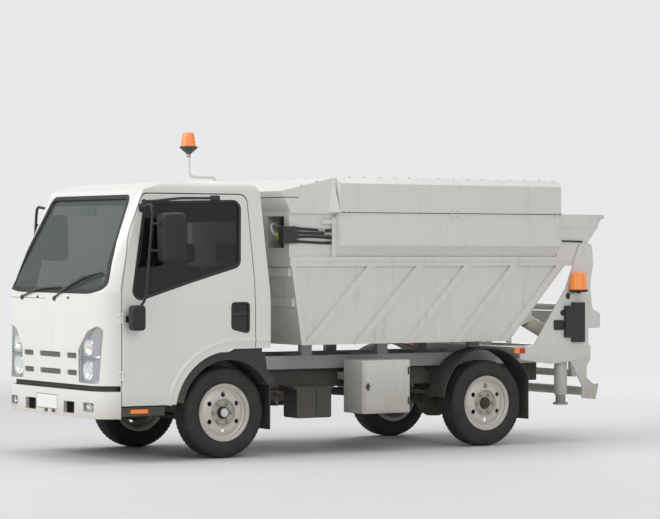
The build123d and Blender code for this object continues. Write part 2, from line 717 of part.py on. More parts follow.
def wheel_arch(radius):
    """The round that the front wheels need through the cab."""
    return bar_y(0, around(0, 1000), TYRE_RADIUS, radius)


def hinge_barrel(low, high, leaf_x):
    """One knuckle of a door hinge: its barrel on the hinge line and the leaf that joins it to a skin."""
    line_x = DOOR_FRONT_X + DOOR_GAP
    line_y = CAB_HALF_WIDTH + DOOR_GAP
    barrel = rod((line_x, line_y, low), (line_x, line_y, high), HINGE_RADIUS)
    x = (min(line_x, leaf_x), max(line_x, leaf_x))
    return barrel + block(x, (CAB_HALF_WIDTH - 20, line_y - 1.5), (low, high))


def cab_shell():
    """The cab's sheet shell, open underneath, at the arches and behind the bumper."""
    width = around(0, 1000)
    past_front = CAB_FRONT_X + 300
    shell = cab_form(0) - cab_form(CAB_WALL)
    shell -= block((-1000, past_front), width, (0, DOOR_BOTTOM))
    shell -= wheel_arch(ARCH_RADIUS)
    shell -= block((-1000, 0), width, (0, CAB_SILL_Z))
    shell -= block((DOOR_FRONT_X + DOOR_GAP, past_front), width, (0, PANEL_BOTTOM))
    underside_x = (CAB_REAR_X - 10, DOOR_FRONT_X + DOOR_GAP)
    shell -= block(underside_x, around(0, DOOR_INNER_Y + 10), (0, FLOOR_Z - FLOOR_GAUGE))
    return shell


def door(side, shell):
    """A door cut from the shell, with its window, its handle and its half of the hinges."""
    piece = shell & side_prism(door_outline(0), (DOOR_INNER_Y + 2 * DOOR_GAP, 1000))
    piece -= side_prism(DOOR_WINDOW, (0, 1000))
    piece -= side_prism(HANDLE_RECESS, (CAB_HALF_WIDTH - 22, 1000))
    piece += block((-160, -32), (CAB_HALF_WIDTH - 23, CAB_HALF_WIDTH - 6), (1100, 1128))
    for low, high in HINGE_SPANS:
        piece += hinge_barrel(low + HINGE_KNUCKLE, high - HINGE_KNUCKLE, DOOR_FRONT_X - 20)
    return on_side(piece, side)


def glass_sheet():
    """The thin skin that all the panes are cut from."""
    return cab_form(GLASS_INSET) - cab_form(GLASS_INSET + GLASS_THICKNESS)


def mirror_set(side):
    """The tube arm on the door with the main mirror and the small wide mirror under it."""
    path = [
        (738, MIRROR_Y - 200, 1925), (745, MIRROR_Y, 1950), (745, MIRROR_Y + 20, 1880),
        (790, MIRROR_Y, 1240), (872, MIRROR_Y - 50, 1100), (884, MIRROR_Y - 117, 1085),
    ]
    arm = bent_bar(path, MIRROR_TUBE_RADIUS, [40, 30, 200, 60])
    foot_top = block((722, 754), (MIRROR_Y - 203, MIRROR_Y - 165), (1900, 1950))
    foot_low = block((860, 905), (CAB_HALF_WIDTH, MIRROR_Y - 93), (1060, 1110))
    main_rows = [(470, 1515, 40), (680, 1510, 35), (690, 1880, 45), (480, 1890, 45)]
    main = side_prism(main_rows, (MIRROR_Y - 15, MIRROR_Y + 75))
    main = fillet(main.faces().sort_by(Axis.Y)[-1].edges(), 30)
    wide = side_prism(oblong((800, 915), (1000, 1190), 30), (MIRROR_Y - 40, MIRROR_Y + 30))
    wide = fillet(wide.faces().sort_by(Axis.Y)[-1].edges(), 22)
    head_y = MIRROR_Y + 30
    clamps = [
        rod((680, head_y, 1800), (751, head_y - 10, 1800), 9),
        rod((680, head_y, 1600), (765, head_y - 17, 1600), 9),
    ]
    piece = fused([arm, foot_top, foot_low, main, wide] + clamps) - cab_form(0)
    return on_side(piece, side)


def cab_floor():
    """The footwell tray, the riser, and the raised deck over the engine, as one sheet."""
    half = CAB_HALF_WIDTH - CAB_WALL - 2 * DOOR_GAP
    front = CAB_FRONT_X - CAB_WALL - 14
    rear = CAB_REAR_X + CAB_WALL
    gauge = FLOOR_GAUGE
    sheet = side_prism(
        sharp([
            (front, FLOOR_Z), (DECK_FRONT_X, FLOOR_Z), (DECK_FRONT_X - 40, DECK_Z), (rear, DECK_Z),
            (rear, DECK_Z - gauge), (DECK_FRONT_X - 40 - gauge, DECK_Z - gauge),
            (DECK_FRONT_X - gauge, FLOOR_Z - gauge), (front, FLOOR_Z - gauge),
        ]),
        (-half, half),
    )
    sheet = sheet & cab_form(CAB_WALL)
    sheet -= grille_backing()
    for lamp in headlamps():
        sheet -= lamp
    lug_y = around(CAB_PIVOT_Y - 8, 11)
    lug = side_prism(
        [
            (CAB_PIVOT_X - 60, FLOOR_Z - gauge, 0),
            (CAB_PIVOT_X - 28, CAB_PIVOT_Z - 28, 25),
            (CAB_PIVOT_X + 28, CAB_PIVOT_Z - 28, 25),
            (CAB_PIVOT_X + 60, FLOOR_Z - gauge, 0),
        ],
        lug_y,
    )
    pin = bar_y(CAB_PIVOT_X, (CAB_PIVOT_Y - 8, RAIL_OUTER_Y + 20), CAB_PIVOT_Z, CAB_PIVOT_RADIUS)
    return [fused([sheet] + both(lug) + both(pin))]


def cab_panels(shell):
    """The fixed shell without doors, split where its panels meet. The left half is cut, then mirrored."""
    half = shell & block((-1000, BEYOND), (0, 1000), (0, 2 * BEYOND))
    half -= side_prism(door_outline(2 * DOOR_GAP), (DOOR_INNER_Y, 1000))
    half -= front_prism(WINDSCREEN, (550, 1300))
    half -= front_prism(REAR_WINDOW, (-600, -200))
    ahead = block((DOOR_FRONT_X - 200, BEYOND), (0, 1000), (0, WAIST_Z - 40))
    behind = block((-1000, -60), (0, 1000), (0, GUTTER_Z))
    front_panel = half & ahead
    back_panel = half & behind
    roof = half - ahead - behind
    front_panel -= front_prism(LAMP_OUTLINE, (LAMP_REAR_X, BEYOND))
    for rows in GRILLE_ROWS:
        for columns in GRILLE_COLUMNS:
            front_panel -= front_prism(oblong(columns, rows, 12), (900, BEYOND))
    for low, high in HINGE_SPANS:
        for end in ((low, low + HINGE_KNUCKLE - RUNNING), (high - HINGE_KNUCKLE + RUNNING, high)):
            front_panel += hinge_barrel(*end, DOOR_FRONT_X + 2 * DOOR_GAP + 20)
    return [fused(both(piece)) for piece in (front_panel, back_panel, roof)]


def headlamps():
    """Two stacked cells a side that fill the lamp recess."""
    skin = cab_form(LAMP_INSET) - cab_form(LAMP_DEPTH)
    lamp = skin & front_prism(LAMP_OUTLINE, (LAMP_REAR_X, BEYOND))
    return both(lamp - block((0, BEYOND), (0, 1000), LAMP_SPLIT_Z))


def bumper():
    """A wrapped shell that follows the cab's front corners, with its openings and lamp recesses."""
    rear = DOOR_FRONT_X + 2 * DOOR_GAP

    def wrap(inset, z):
        half = CAB_HALF_WIDTH - inset
        front = CAB_FRONT_X + 2 - inset
        corner = CAB_CORNER - inset
        return plan_prism([(front, -half, corner), (front, half, corner), (0, half, 0), (0, -half, 0)], z)

    body = wrap(0, (BUMPER_BOTTOM, BUMPER_TOP)) - wrap(BUMPER_WALL, (BUMPER_BOTTOM - 1, BUMPER_TOP + 1))
    body = body & block((rear, BEYOND), around(0, 1000), (0, 1000))
    for y_low, y_high, z_low, z_high in BUMPER_OPENINGS:
        for cut in both(front_prism(oblong((y_low, y_high), (z_low, z_high), 12), (900, BEYOND))):
            body -= cut
    stay_y = (180, 220)
    stays = both(block((1015, 1045), stay_y, (BUMPER_TOP - 60, FLOOR_Z - FLOOR_GAUGE)))
    feet = both(block((1015, CAB_FRONT_X + 3 - BUMPER_WALL), stay_y, (BUMPER_TOP - 60, BUMPER_TOP - 10)))
    return [fused([body] + stays + feet)]


def grille_backing():
    """The black sheet behind the grille's slots and behind the gap over the bumper."""
    skin = cab_form(CAB_WALL) - cab_form(CAB_WALL + BACKING_GAUGE)
    slots = block((900, BEYOND), around(0, GRILLE_OUTER_Y + 13), (BUMPER_TOP + 2, 832))
    gap = block((DOOR_FRONT_X + 2 * DOOR_GAP, BEYOND), around(0, LAMP_Y + 50), (BUMPER_TOP + 2, 596))
    return skin & (slots + gap)


def cab_trim():
    """The backing, and the sill steps under the doors with their hangers."""
    step_y = (CAB_HALF_WIDTH - 150, CAB_HALF_WIDTH - 20)
    step = block((560, DOOR_FRONT_X - 4), step_y, (352, DOOR_BOTTOM - 10))
    hanger = block((600, 880), (step_y[0], step_y[0] + 20), (DOOR_BOTTOM - 11, FLOOR_Z - FLOOR_GAUGE))
    return [grille_backing()] + both(step + hanger)


def dashboard():
    """The dash between the cab's walls, cut clear of the lamps, with the column and steering wheel."""
    low = FLOOR_Z + 220
    body_rows = [(1040, low, 0), (1040, 1190, 60), (760, 1180, 60), (740, 1000, 40), (860, low, 0)]
    body = side_prism(body_rows, around(0, LAMP_Y + 20))
    above_lamps = body & cab_form(CAB_WALL + RUNNING) & block((0, BEYOND), around(0, 1000), (1045, BEYOND))
    body = (body & cab_form(LAMP_DEPTH + 2)) + above_lamps
    column = rod(COLUMN_FOOT, STEERING_WHEEL, 30)
    facing = [wheel - foot for wheel, foot in zip(STEERING_WHEEL, COLUMN_FOOT)]
    at_wheel = Plane(origin=STEERING_WHEEL, z_dir=facing)
    wheel = at_wheel * Torus(STEERING_WHEEL_RADIUS, 14)
    spokes = at_wheel * Box(2 * STEERING_WHEEL_RADIUS - 10, 40, 12)
    return [fused([body, column, wheel, spokes])]


def seats():
    """The driver's seat and the double passenger seat, each a cushion, a back and a head rest."""
    low = DECK_Z + RUNNING
    cushion_rows = [(-120, low, 0), (380, low, 0), (380, DECK_Z + 150, 50), (-120, DECK_Z + 120, 0)]
    back_rows = [(-230, low, 0), (-100, low, 0), (-170, 1500, 40), (-290, 1500, 40)]
    rest_rows = [(-285, 1495, 0), (-185, 1495, 0), (-190, 1660, 35), (-270, 1660, 35)]
    pieces = []
    for y in SEATS_Y:
        rest = side_prism(rest_rows, around((y[0] + y[1]) / 2, 130))
        pieces.append(fused([side_prism(cushion_rows, y), side_prism(back_rows, y), rest]))
    return pieces


def beacon_pole():
    """The tube that leaves the roof, runs forward just over it, and stands up under the beacon."""
    path = [
        (POLE_FOOT_X, BEACON_Y, ROOF_TOP - 60), (POLE_FOOT_X, BEACON_Y, POLE_RUN_Z),
        (BEACON_X, BEACON_Y, POLE_RUN_Z), (BEACON_X, BEACON_Y, BEACON_Z),
    ]
    return bent_bar(path, BEACON_POLE_RADIUS, [26, 50])


def beacon(clamp, cup, radius, height, crown):
    """A turned beacon: its clamp, its cup, and a lens that narrows to the crown's radius. The clamp,
    the cup and the whole are given by the heights at which they end."""
    section = [
        (0, 0, 0), (BEACON_CLAMP_RADIUS, 0, 0), (BEACON_CLAMP_RADIUS, clamp, 0),
        (radius - 2, cup - 10, 4), (radius, cup, 0), (radius - 8, cup + 2, 0),
        (crown, height - 8, 14), (0, height, 0),
    ]
    return revolve(Plane.XZ * outline(section), axis=Axis.Z)


def roof_beacon():
    """The beacon on the pole over the driver."""
    return [Pos(BEACON_X, BEACON_Y, BEACON_Z) * beacon(27, 82, 70, 195, 46)]


# Tub body

def tub_side():
    """One tapered side plate with its diagonal ribs, built upright and then leaned."""
    z = (TUB_FLOOR_Z, TUB_TOP_Z)
    spare = (z[0] - 8, z[1] + 8)

    def along(foot, head, height):
        return foot + (head - foot) * (height - z[0]) / (z[1] - z[0])

    def slanted(front, rear, depth):
        """A plate between two slanted edges, each given by its x at the foot and at the head."""
        rows = [(along(*front, spare[1]), spare[1]), (along(*front, spare[0]), spare[0]),
                (along(*rear, spare[0]), spare[0]), (along(*rear, spare[1]), spare[1])]
        return side_prism(sharp(rows), depth)

    front = (TUB_FRONT_FOOT_X, TUB_FRONT_TOP_X)
    pieces = [slanted(front, (TUB_REAR_FOOT_X, TUB_REAR_TOP_X), (-TUB_PLATE, 0))]
    pieces.append(slanted(front, [x - FRONT_STRIP_WIDTH for x in front], (-1, RIB_DEPTH)))
    for number in range(RIB_COUNT):
        share = number / (RIB_COUNT - 1)
        foot = RIB_FOOT_X[0] + share * (RIB_FOOT_X[1] - RIB_FOOT_X[0])
        head = RIB_HEAD_X[0] + share * (RIB_HEAD_X[1] - RIB_HEAD_X[0])
        pieces.append(slanted((foot + RIB_WIDTH, head + RIB_WIDTH), (foot, head), (-1, RIB_DEPTH)))
    lean = math.degrees(math.atan2(TUB_TOP_Y - TUB_FOOT_Y, z[1] - z[0]))
    whole = Pos(0, TUB_TOP_Y, z[1]) * Rot(-lean, 0, 0) * Pos(0, 0, -z[1]) * fused(pieces)
    return whole & block((-5000, 0), (0, 1000), z)


def tub_trough():
    """The front wall, floor and rear chute as one bent sheet between the sides, with the jack's ears."""
    gauge = TUB_PLATE
    z = (TUB_FLOOR_Z, TUB_TOP_Z)
    sheet = side_prism(
        sharp([
            (TUB_FRONT_TOP_X, z[1]), (TUB_FRONT_FOOT_X, z[0]), (TUB_REAR_FOOT_X, z[0]),
            (TUB_REAR_TOP_X, z[1]), (TUB_REAR_TOP_X + 11, z[1]), (TUB_REAR_FOOT_X + 4, z[0] + gauge),
            (TUB_FRONT_FOOT_X - gauge, z[0] + gauge), (TUB_FRONT_TOP_X - gauge, z[1]),
        ]),
        (-1000, 1000),
    )
    top = TUB_TOP_Y - TUB_PLATE - 0.5
    foot = TUB_FOOT_Y - TUB_PLATE - 0.5
    slope = (TUB_FRONT_TOP_X - TUB_FRONT_FOOT_X) / (z[1] - z[0])
    for low, high in WALL_RIBS_Z:
        wall_x = TUB_FRONT_FOOT_X + slope * (low - z[0])
        sheet += block((wall_x - 4, wall_x + WALL_RIB_DEPTH), (-1000, 1000), (low, high))
    sheet = sheet & front_prism(sharp([(-foot, z[0]), (foot, z[0]), (top, z[1]), (-top, z[1])]), (-5000, 0))
    eye_x, eye_z = CYLINDER_EYE
    ear_rows = [
        (eye_x + 130, eye_z - 34, 0), (eye_x - 70, eye_z + 150, 0), (eye_x - 45, eye_z - 20, 20),
        (eye_x + 40, eye_z - 60, 30),
    ]
    ears = []
    for y in (CYLINDER_Y - EAR_GAP / 2 - EAR_GAUGE, CYLINDER_Y + EAR_GAP / 2):
        ears += both(side_prism(ear_rows, (y, y + EAR_GAUGE)))
    return [fused([sheet] + ears)]


def rail_box():
    """The left rail's full form, which the hopper is cut clear of."""
    x = (BODY_RAIL_REAR_X, BODY_RAIL_FRONT_X)
    return block(x, (TUB_OUTER_Y - RAIL_DEPTH_Y, TUB_OUTER_Y), (TUB_TOP_Z, TUB_RAIL_TOP_Z))


def body_rails():
    """The rim round the tub's top: two grooved side rails and the front crossbar."""
    groove = block((-5000, 0), (TUB_OUTER_Y - RAIL_GROOVE_DEPTH, 1000), RAIL_GROOVE_Z)
    rails = both(rail_box() - groove)
    bar_half = TUB_OUTER_Y - RAIL_DEPTH_Y + 5
    bar_x = (BODY_RAIL_FRONT_X - RAIL_DEPTH_Y, BODY_RAIL_FRONT_X)
    return [fused(rails + [block(bar_x, (-bar_half, bar_half), (TUB_TOP_Z, TUB_RAIL_TOP_Z))])]


def cover_rows(inset):
    """The housing's section, moved inwards by inset: roof, bevels, lapped sides, lower chamfers."""
    low = TUB_RAIL_TOP_Z
    width = COVER_Y - inset
    peak = COVER_TOP_Z - inset
    lower = width - COVER_SEAM_STEP
    half = [
        (lower - COVER_CHAMFER_WIDTH, low - (1 if inset else 0)), (lower, low + COVER_CHAMFER_HEIGHT),
        (lower, COVER_SEAM_Z), (width, COVER_SEAM_Z), (width, peak - COVER_BEVEL_HEIGHT),
        (width - COVER_BEVEL_WIDTH, peak),
    ]
    return sharp(half + [(-y, z) for y, z in reversed(half)])


def cover():
    """The fixed housing over the tub, open behind and below, with plates over its seam's joints."""
    shell = front_prism(cover_rows(0), (COVER_REAR_X, COVER_FRONT_X))
    shell -= front_prism(cover_rows(COVER_GAUGE), (COVER_REAR_X - 1, COVER_FRONT_X - COVER_GAUGE))
    middle = (COVER_REAR_X + COVER_FRONT_X) / 2
    plates = []
    for x in ((COVER_FRONT_X - 95, COVER_FRONT_X), around(middle, 43), (COVER_REAR_X, COVER_REAR_X + 85)):
        z = around(COVER_SEAM_Z, 35 if x[0] < middle < x[1] else 18)
        plates += both(block(x, (COVER_Y - COVER_SEAM_STEP - 1, COVER_Y + 4), z))
    return [fused([shell] + plates)]


def front_hood():
    """The closed housing ahead of the cover: sloped nose, flared rear corners, the opening in its
    front, and the post that carries the hoses' ends."""
    low = TUB_RAIL_TOP_Z
    rear = COVER_FRONT_X + RUNNING
    body = side_prism(
        sharp([
            (rear, low), (rear, COVER_TOP_Z - 4), (HOOD_PEAK_X, COVER_TOP_Z - 10),
            HOOD_BROW, (HOOD_FRONT_X, COVER_SEAM_Z), (HOOD_FRONT_X, low),
        ]),
        (-TUB_OUTER_Y, TUB_OUTER_Y),
    )
    for waist in both(block((rear - 1, 0), (HOOD_INNER_Y, 1000), (low - 1, COVER_SEAM_Z - 10))):
        body -= waist
    body -= block((HOOD_FRONT_X - HOOD_OPENING_DEPTH, 0), HOOD_OPENING_Y, HOOD_OPENING_Z)
    foot = [(rear, TUB_OUTER_Y - 1), (rear, COVER_Y - 3), (HOOD_FACET_X, TUB_OUTER_Y - 1)]
    base = Plane.XY.offset(COVER_SEAM_Z) * make_face(Polyline(*foot, close=True))
    peak = Vertex(HOOD_PEAK_X - 20, TUB_OUTER_Y - 1, COVER_TOP_Z - 14)
    facet = loft([base, peak])
    post = block(HOSE_POST_X, (HOOD_INNER_Y - 1, TUB_OUTER_Y + 4), (low, 1860))
    flange = block((HOSE_POST_X[0], HOSE_POST_X[1] + 90), (HOOD_INNER_Y - 1, TUB_OUTER_Y + 8), (1812, 1840))
    return [fused([body] + both(facet) + [post, flange])]


def hydraulic_hoses():
    """Four hoses from the block on the hood's front corner, along its side, to the post."""
    y = HOOD_INNER_Y + HOSE_RADIUS
    block_y = (HOOD_INNER_Y - 60, TUB_OUTER_Y + 2)
    manifold = block(HOSE_BLOCK_X, block_y, (HOSE_HEIGHTS[0] - 17, HOSE_HEIGHTS[-1] + 17))
    manifold -= block((-BEYOND, HOOD_FRONT_X), (0, HOOD_INNER_Y), (0, BEYOND))
    hoses = [rod((HOSE_BLOCK_X[0] + 1, y, z), (HOSE_POST_X[1], y, z), HOSE_RADIUS) for z in HOSE_HEIGHTS]
    return [fused([manifold] + hoses)]


def hopper():
    """The open rear mouth: two cheeks, the rear wall, its curled lip and a stiffening rib."""
    low = TUB_RAIL_TOP_Z
    inner = TUB_OUTER_Y - TUB_PLATE
    lip_x = LIP_X + LIP_RADIUS
    cheek = side_prism(
        sharp([
            (COVER_REAR_X - 6, low), (COVER_REAR_X - 46, HOPPER_TOP_Z), (lip_x, HOPPER_TOP_Z),
            (lip_x + 72, 1770), (lip_x + 149, 1681), (PIVOT_X - 20, low + 60), (PIVOT_X - 40, low + 40),
            (PIVOT_X + 40, low - 20), (BODY_RAIL_REAR_X, low - 20), (BODY_RAIL_REAR_X, low),
        ]),
        (inner, TUB_OUTER_Y),
    )
    boss = bar_y(PIVOT_X, (TUB_OUTER_Y - 30, TUB_OUTER_Y), PIVOT_Z, PIVOT_BOSS_RADIUS)
    pin = bar_y(PIVOT_X, (TUB_OUTER_Y - 20, GUSSET_OUTER_Y + 8), PIVOT_Z, PIVOT_PIN_RADIUS)
    rib = block((lip_x + 52, COVER_REAR_X - 40), (TUB_OUTER_Y, TUB_OUTER_Y + 5), (1795, 1815))
    wall = side_prism(
        sharp([
            (TUB_REAR_TOP_X, TUB_TOP_Z), (PIVOT_X + 1, 1528), (lip_x + 149, 1681), (lip_x, 1880),
            (lip_x, HOPPER_TOP_Z), (lip_x + 9, HOPPER_TOP_Z), (lip_x + 9, 1878), (lip_x + 159, 1684),
            (PIVOT_X + 10, 1538), (TUB_REAR_TOP_X, TUB_TOP_Z + 9),
        ]),
        (-inner, inner),
    )
    lip = Pos(lip_x, 0, HOPPER_TOP_Z - LIP_RADIUS) * Rot(90, 0, 0) * Cylinder(LIP_RADIUS, 2 * TUB_OUTER_Y)
    whole = fused(both(fused([cheek, boss, pin, rib])) + [wall, lip])
    for rail in both(rail_box()):
        whole -= rail
    return [whole]


def packer_blade():
    """The swinging blade that pushes refuse forward, on its cross tube."""
    foot_z = BLADE_Z - BLADE_LENGTH
    edges = [(BLADE_X - 12, foot_z), (BLADE_X + 12, foot_z), (BLADE_X + 30, BLADE_Z), (BLADE_X - 30, BLADE_Z)]
    plate = side_prism(sharp(edges), around(0, BLADE_HALF_WIDTH))
    reach = COVER_Y - COVER_SEAM_STEP - COVER_GAUGE - RUNNING
    return [fused([plate, bar_y(BLADE_X, (-reach, reach), BLADE_Z, BLADE_TUBE_RADIUS)])]


# Rear frame, stabilisers and lifter

GUSSET = behind_rear_axle([
    (-310, 705, 20), (-310, 792, 20), (-456, 826, 30), (-781, 1290, 60), (-910, 1610, 40),
    (-930, 1662, 40), (-1055, 1662, 40), (-1070, 1500, 60), (-1020, 1200, 60), (-1020, 700, 20),
    (-626, 660, 20),
])
ARM_PLATE = behind_rear_axle([
    (-811, 826), (-1051, 812), (-1051, 688), (-1012, 634), (-1013, 535), (-1083, 484), (-1138, 484),
    (-1107, 354), (-966, 366), (-966, 475), (-825, 700),
])
HOUSING = behind_rear_axle([
    (-761, 879), (-761, 1142), (-838, 1142), (-838, HOUSING_TOP_Z), (-962, HOUSING_TOP_Z), (-962, 839),
    (-838, 839), (-838, 879),
])


def rear_frame():
    """The gussets that carry the tub's hinge, the rear beams, the jack's base ears, the lifter's pins,
    the leg tubes, the underrun tube and the beacons' brackets."""
    gusset = side_prism(GUSSET, (GUSSET_INNER_Y, GUSSET_OUTER_Y))
    gusset -= bar_y(PIVOT_X, (0, 1000), PIVOT_Z, PIVOT_PIN_RADIUS + RUNNING)
    arm_plate = side_prism(sharp(ARM_PLATE), (GUSSET_INNER_Y - 12, GUSSET_INNER_Y + 1))
    lifter_pin = bar_y(LIFTER_X, (LIFTER_ARM_Y[0] - 5, GUSSET_INNER_Y + 1), LIFTER_Z, LIFTER_PIN_RADIUS)
    sill_x = (REAR_BEAM_X[0], SUBFRAME_REAR_X)
    sill = block(sill_x, (SUBFRAME_INNER_Y, SUBFRAME_OUTER_Y), (RAIL_TOP, REAR_BEAM_Z[1]))
    leg_tube = rod((LEG_X, LEG_Y, LEG_TUBE_Z[0]), (LEG_X, LEG_Y, LEG_TUBE_Z[1]), LEG_TUBE_RADIUS)
    shelf_x = around(REAR_BEACON_X, SHELF_HALF)
    shelf_y = (GUSSET_OUTER_Y - 1, GUSSET_OUTER_Y + REAR_BEACON_RADIUS + SHELF_HALF)
    shelf = block(shelf_x, shelf_y, (REAR_BEACON_Z - SHELF_GAUGE, REAR_BEACON_Z))
    shelf += block(shelf_x, (shelf_y[0], shelf_y[0] + SHELF_GAUGE), (HOUSING_TOP_Z + MOVING, REAR_BEACON_Z))
    base_x, base_z = CYLINDER_BASE
    ear_rows = [
        (base_x - 45, REAR_BEAM_Z[1] - 1, 0), (base_x + 30, REAR_BEAM_Z[1] - 1, 0),
        (base_x + 30, base_z + 32, 25), (base_x - 45, base_z + 32, 25),
    ]
    ears = []
    for y in (CYLINDER_Y - EAR_GAP / 2 - EAR_GAUGE, CYLINDER_Y + EAR_GAP / 2):
        ears.append(side_prism(ear_rows, (y, y + EAR_GAUGE)))
    ears.append(bar_y(base_x, around(CYLINDER_Y, EAR_GAP / 2 + 1), base_z, CYLINDER_PIN_RADIUS))
    left = fused([gusset, arm_plate, lifter_pin, sill, leg_tube, shelf] + ears)
    across = around(0, GUSSET_INNER_Y + 1)
    pad_x = (REAR_BEAM_X[0] - PLATE_PAD, REAR_BEAM_X[0] + 1)
    beams = [
        block(REAR_BEAM_X, across, REAR_BEAM_Z),
        block((SUBFRAME_REAR_X - 120, SUBFRAME_REAR_X), across, (REAR_BEAM_Z[0] + 10, REAR_BEAM_Z[1])),
        bar_y(UNDERRUN_X, around(0, GUSSET_INNER_Y - 5), UNDERRUN_Z, UNDERRUN_RADIUS),
        block(pad_x, around(0, PLATE_PAD_HALF), (REAR_BEAM_Z[0] - 8, REAR_BEAM_Z[1])),
    ]
    whole = fused(both(left) + beams)
    for bore in both(rod((LEG_X, LEG_Y, LEG_TUBE_Z[0] - 15), (LEG_X, LEG_Y, 900), LEG_RADIUS + RUNNING)):
        whole -= bore
    return [whole]


def stabiliser_legs():
    """The two round legs with their feet, drawn up."""
    leg = rod((LEG_X, LEG_Y, LEG_Z[0]), (LEG_X, LEG_Y, LEG_Z[1]), LEG_RADIUS)
    foot = Pos(LEG_X, LEG_Y, LEG_Z[0] - LEG_FOOT_GAUGE / 2) * Cylinder(LEG_FOOT_RADIUS, LEG_FOOT_GAUGE)
    return both(leg + foot)


def tail_lamps():
    """The lamp blocks on the rear beam."""
    return both(block((REAR_BEAM_X[0] - TAIL_LAMP_DEPTH, REAR_BEAM_X[0]), TAIL_LAMP_Y, TAIL_LAMP_Z))


def rear_beacons():
    """The beacons on their brackets outside the gussets."""
    y = GUSSET_OUTER_Y + REAR_BEACON_RADIUS + 4
    turned = beacon(8, 30, REAR_BEACON_RADIUS, REAR_BEACON_HEIGHT, REAR_BEACON_RADIUS - 20)
    return both(Pos(REAR_BEACON_X, y, REAR_BEACON_Z) * turned)


def lifter_housings():
    """The black boxes on the gussets' outsides, over the lifter's valves."""
    return both(side_prism(sharp(HOUSING), (GUSSET_OUTER_Y, GUSSET_OUTER_Y + HOUSING_DEPTH)))


def lifter():
    """Two swing arms on a torque tube, the comb that takes a bin's rim, and the bin rest under it."""
    comb_front = COMB_X + 40
    jaw_x = COMB_X - 85
    arm = side_prism(
        [
            (LIFTER_X + 50, LIFTER_Z + 50, 48), (LIFTER_X - 50, LIFTER_Z + 50, 48), (COMB_X, 1110, 60),
            (jaw_x, 1075, 20), (jaw_x, 950, 20), (comb_front, 950, 20), (LIFTER_X + 20, 1150, 60),
        ],
        LIFTER_ARM_Y,
    )
    arm -= bar_y(LIFTER_X, (600, 900), LIFTER_Z, LIFTER_PIN_RADIUS + RUNNING)
    drop = block((COMB_X - 25, COMB_X + 10), (430, 465), (540, 960))
    half = LIFTER_ARM_Y[0] + 1
    comb = block((COMB_X, comb_front), (-half, half), (955, 1085))
    tube = bar_y(COMB_X + 20, (-half, half), 1120, 28)
    rest = block((COMB_X - 40, COMB_X + 10), (-480, 480), (530, 590))
    teeth = []
    for number in range(COMB_TEETH):
        middle = (number - (COMB_TEETH - 1) / 2) * COMB_PITCH
        teeth.append(block((COMB_X - 80, COMB_X + 1), around(middle, 14), (1000, 1085)))
    return [fused(both(arm) + both(drop) + [comb, tube, rest] + teeth)]


# Tipping cylinders

def cylinder_pieces():
    """The barrel, its two hollow stages and the rod, on the line from the base pin to the eye."""
    base_x, base_z = CYLINDER_BASE
    eye_x, eye_z = CYLINDER_EYE
    run = (eye_x - base_x, 0, eye_z - base_z)
    length = math.hypot(*run)
    line = Plane(origin=(base_x, CYLINDER_Y, base_z), z_dir=run, x_dir=(0, 1, 0))
    barrel_end = length - 55
    barrel_r, outer_r, inner_r, rod_r = CYLINDER_RADII
    eye_width = EAR_GAP - 2 * MOVING

    def tube(radius, low, high):
        return Pos(0, 0, low) * Cylinder(radius, high - low, align=(Align.CENTER, Align.CENTER, Align.MIN))

    def stage(radius, inner_radius, low, floor, high):
        """A closed tube whose bore starts at floor and is open at its high end."""
        return tube(radius, low, high) - tube(inner_radius + BORE_CLEARANCE, floor, high + 1)

    barrel = stage(barrel_r, outer_r, 30, 50, barrel_end)
    barrel += Rot(0, 90, 0) * Cylinder(32, eye_width)
    barrel -= Rot(0, 90, 0) * Cylinder(CYLINDER_PIN_RADIUS + RUNNING, EAR_GAP)
    outer = stage(outer_r, inner_r, 55, 70, barrel_end + 6)
    inner = stage(inner_r, rod_r, 75, 90, barrel_end + 12)
    eye = Pos(0, 0, length) * Rot(0, 90, 0) * (Cylinder(30, 50) + Cylinder(16, eye_width))
    shaft = tube(rod_r, 95, length - 20) + eye
    return [both(line * piece) for piece in (barrel, outer, inner, shaft)]


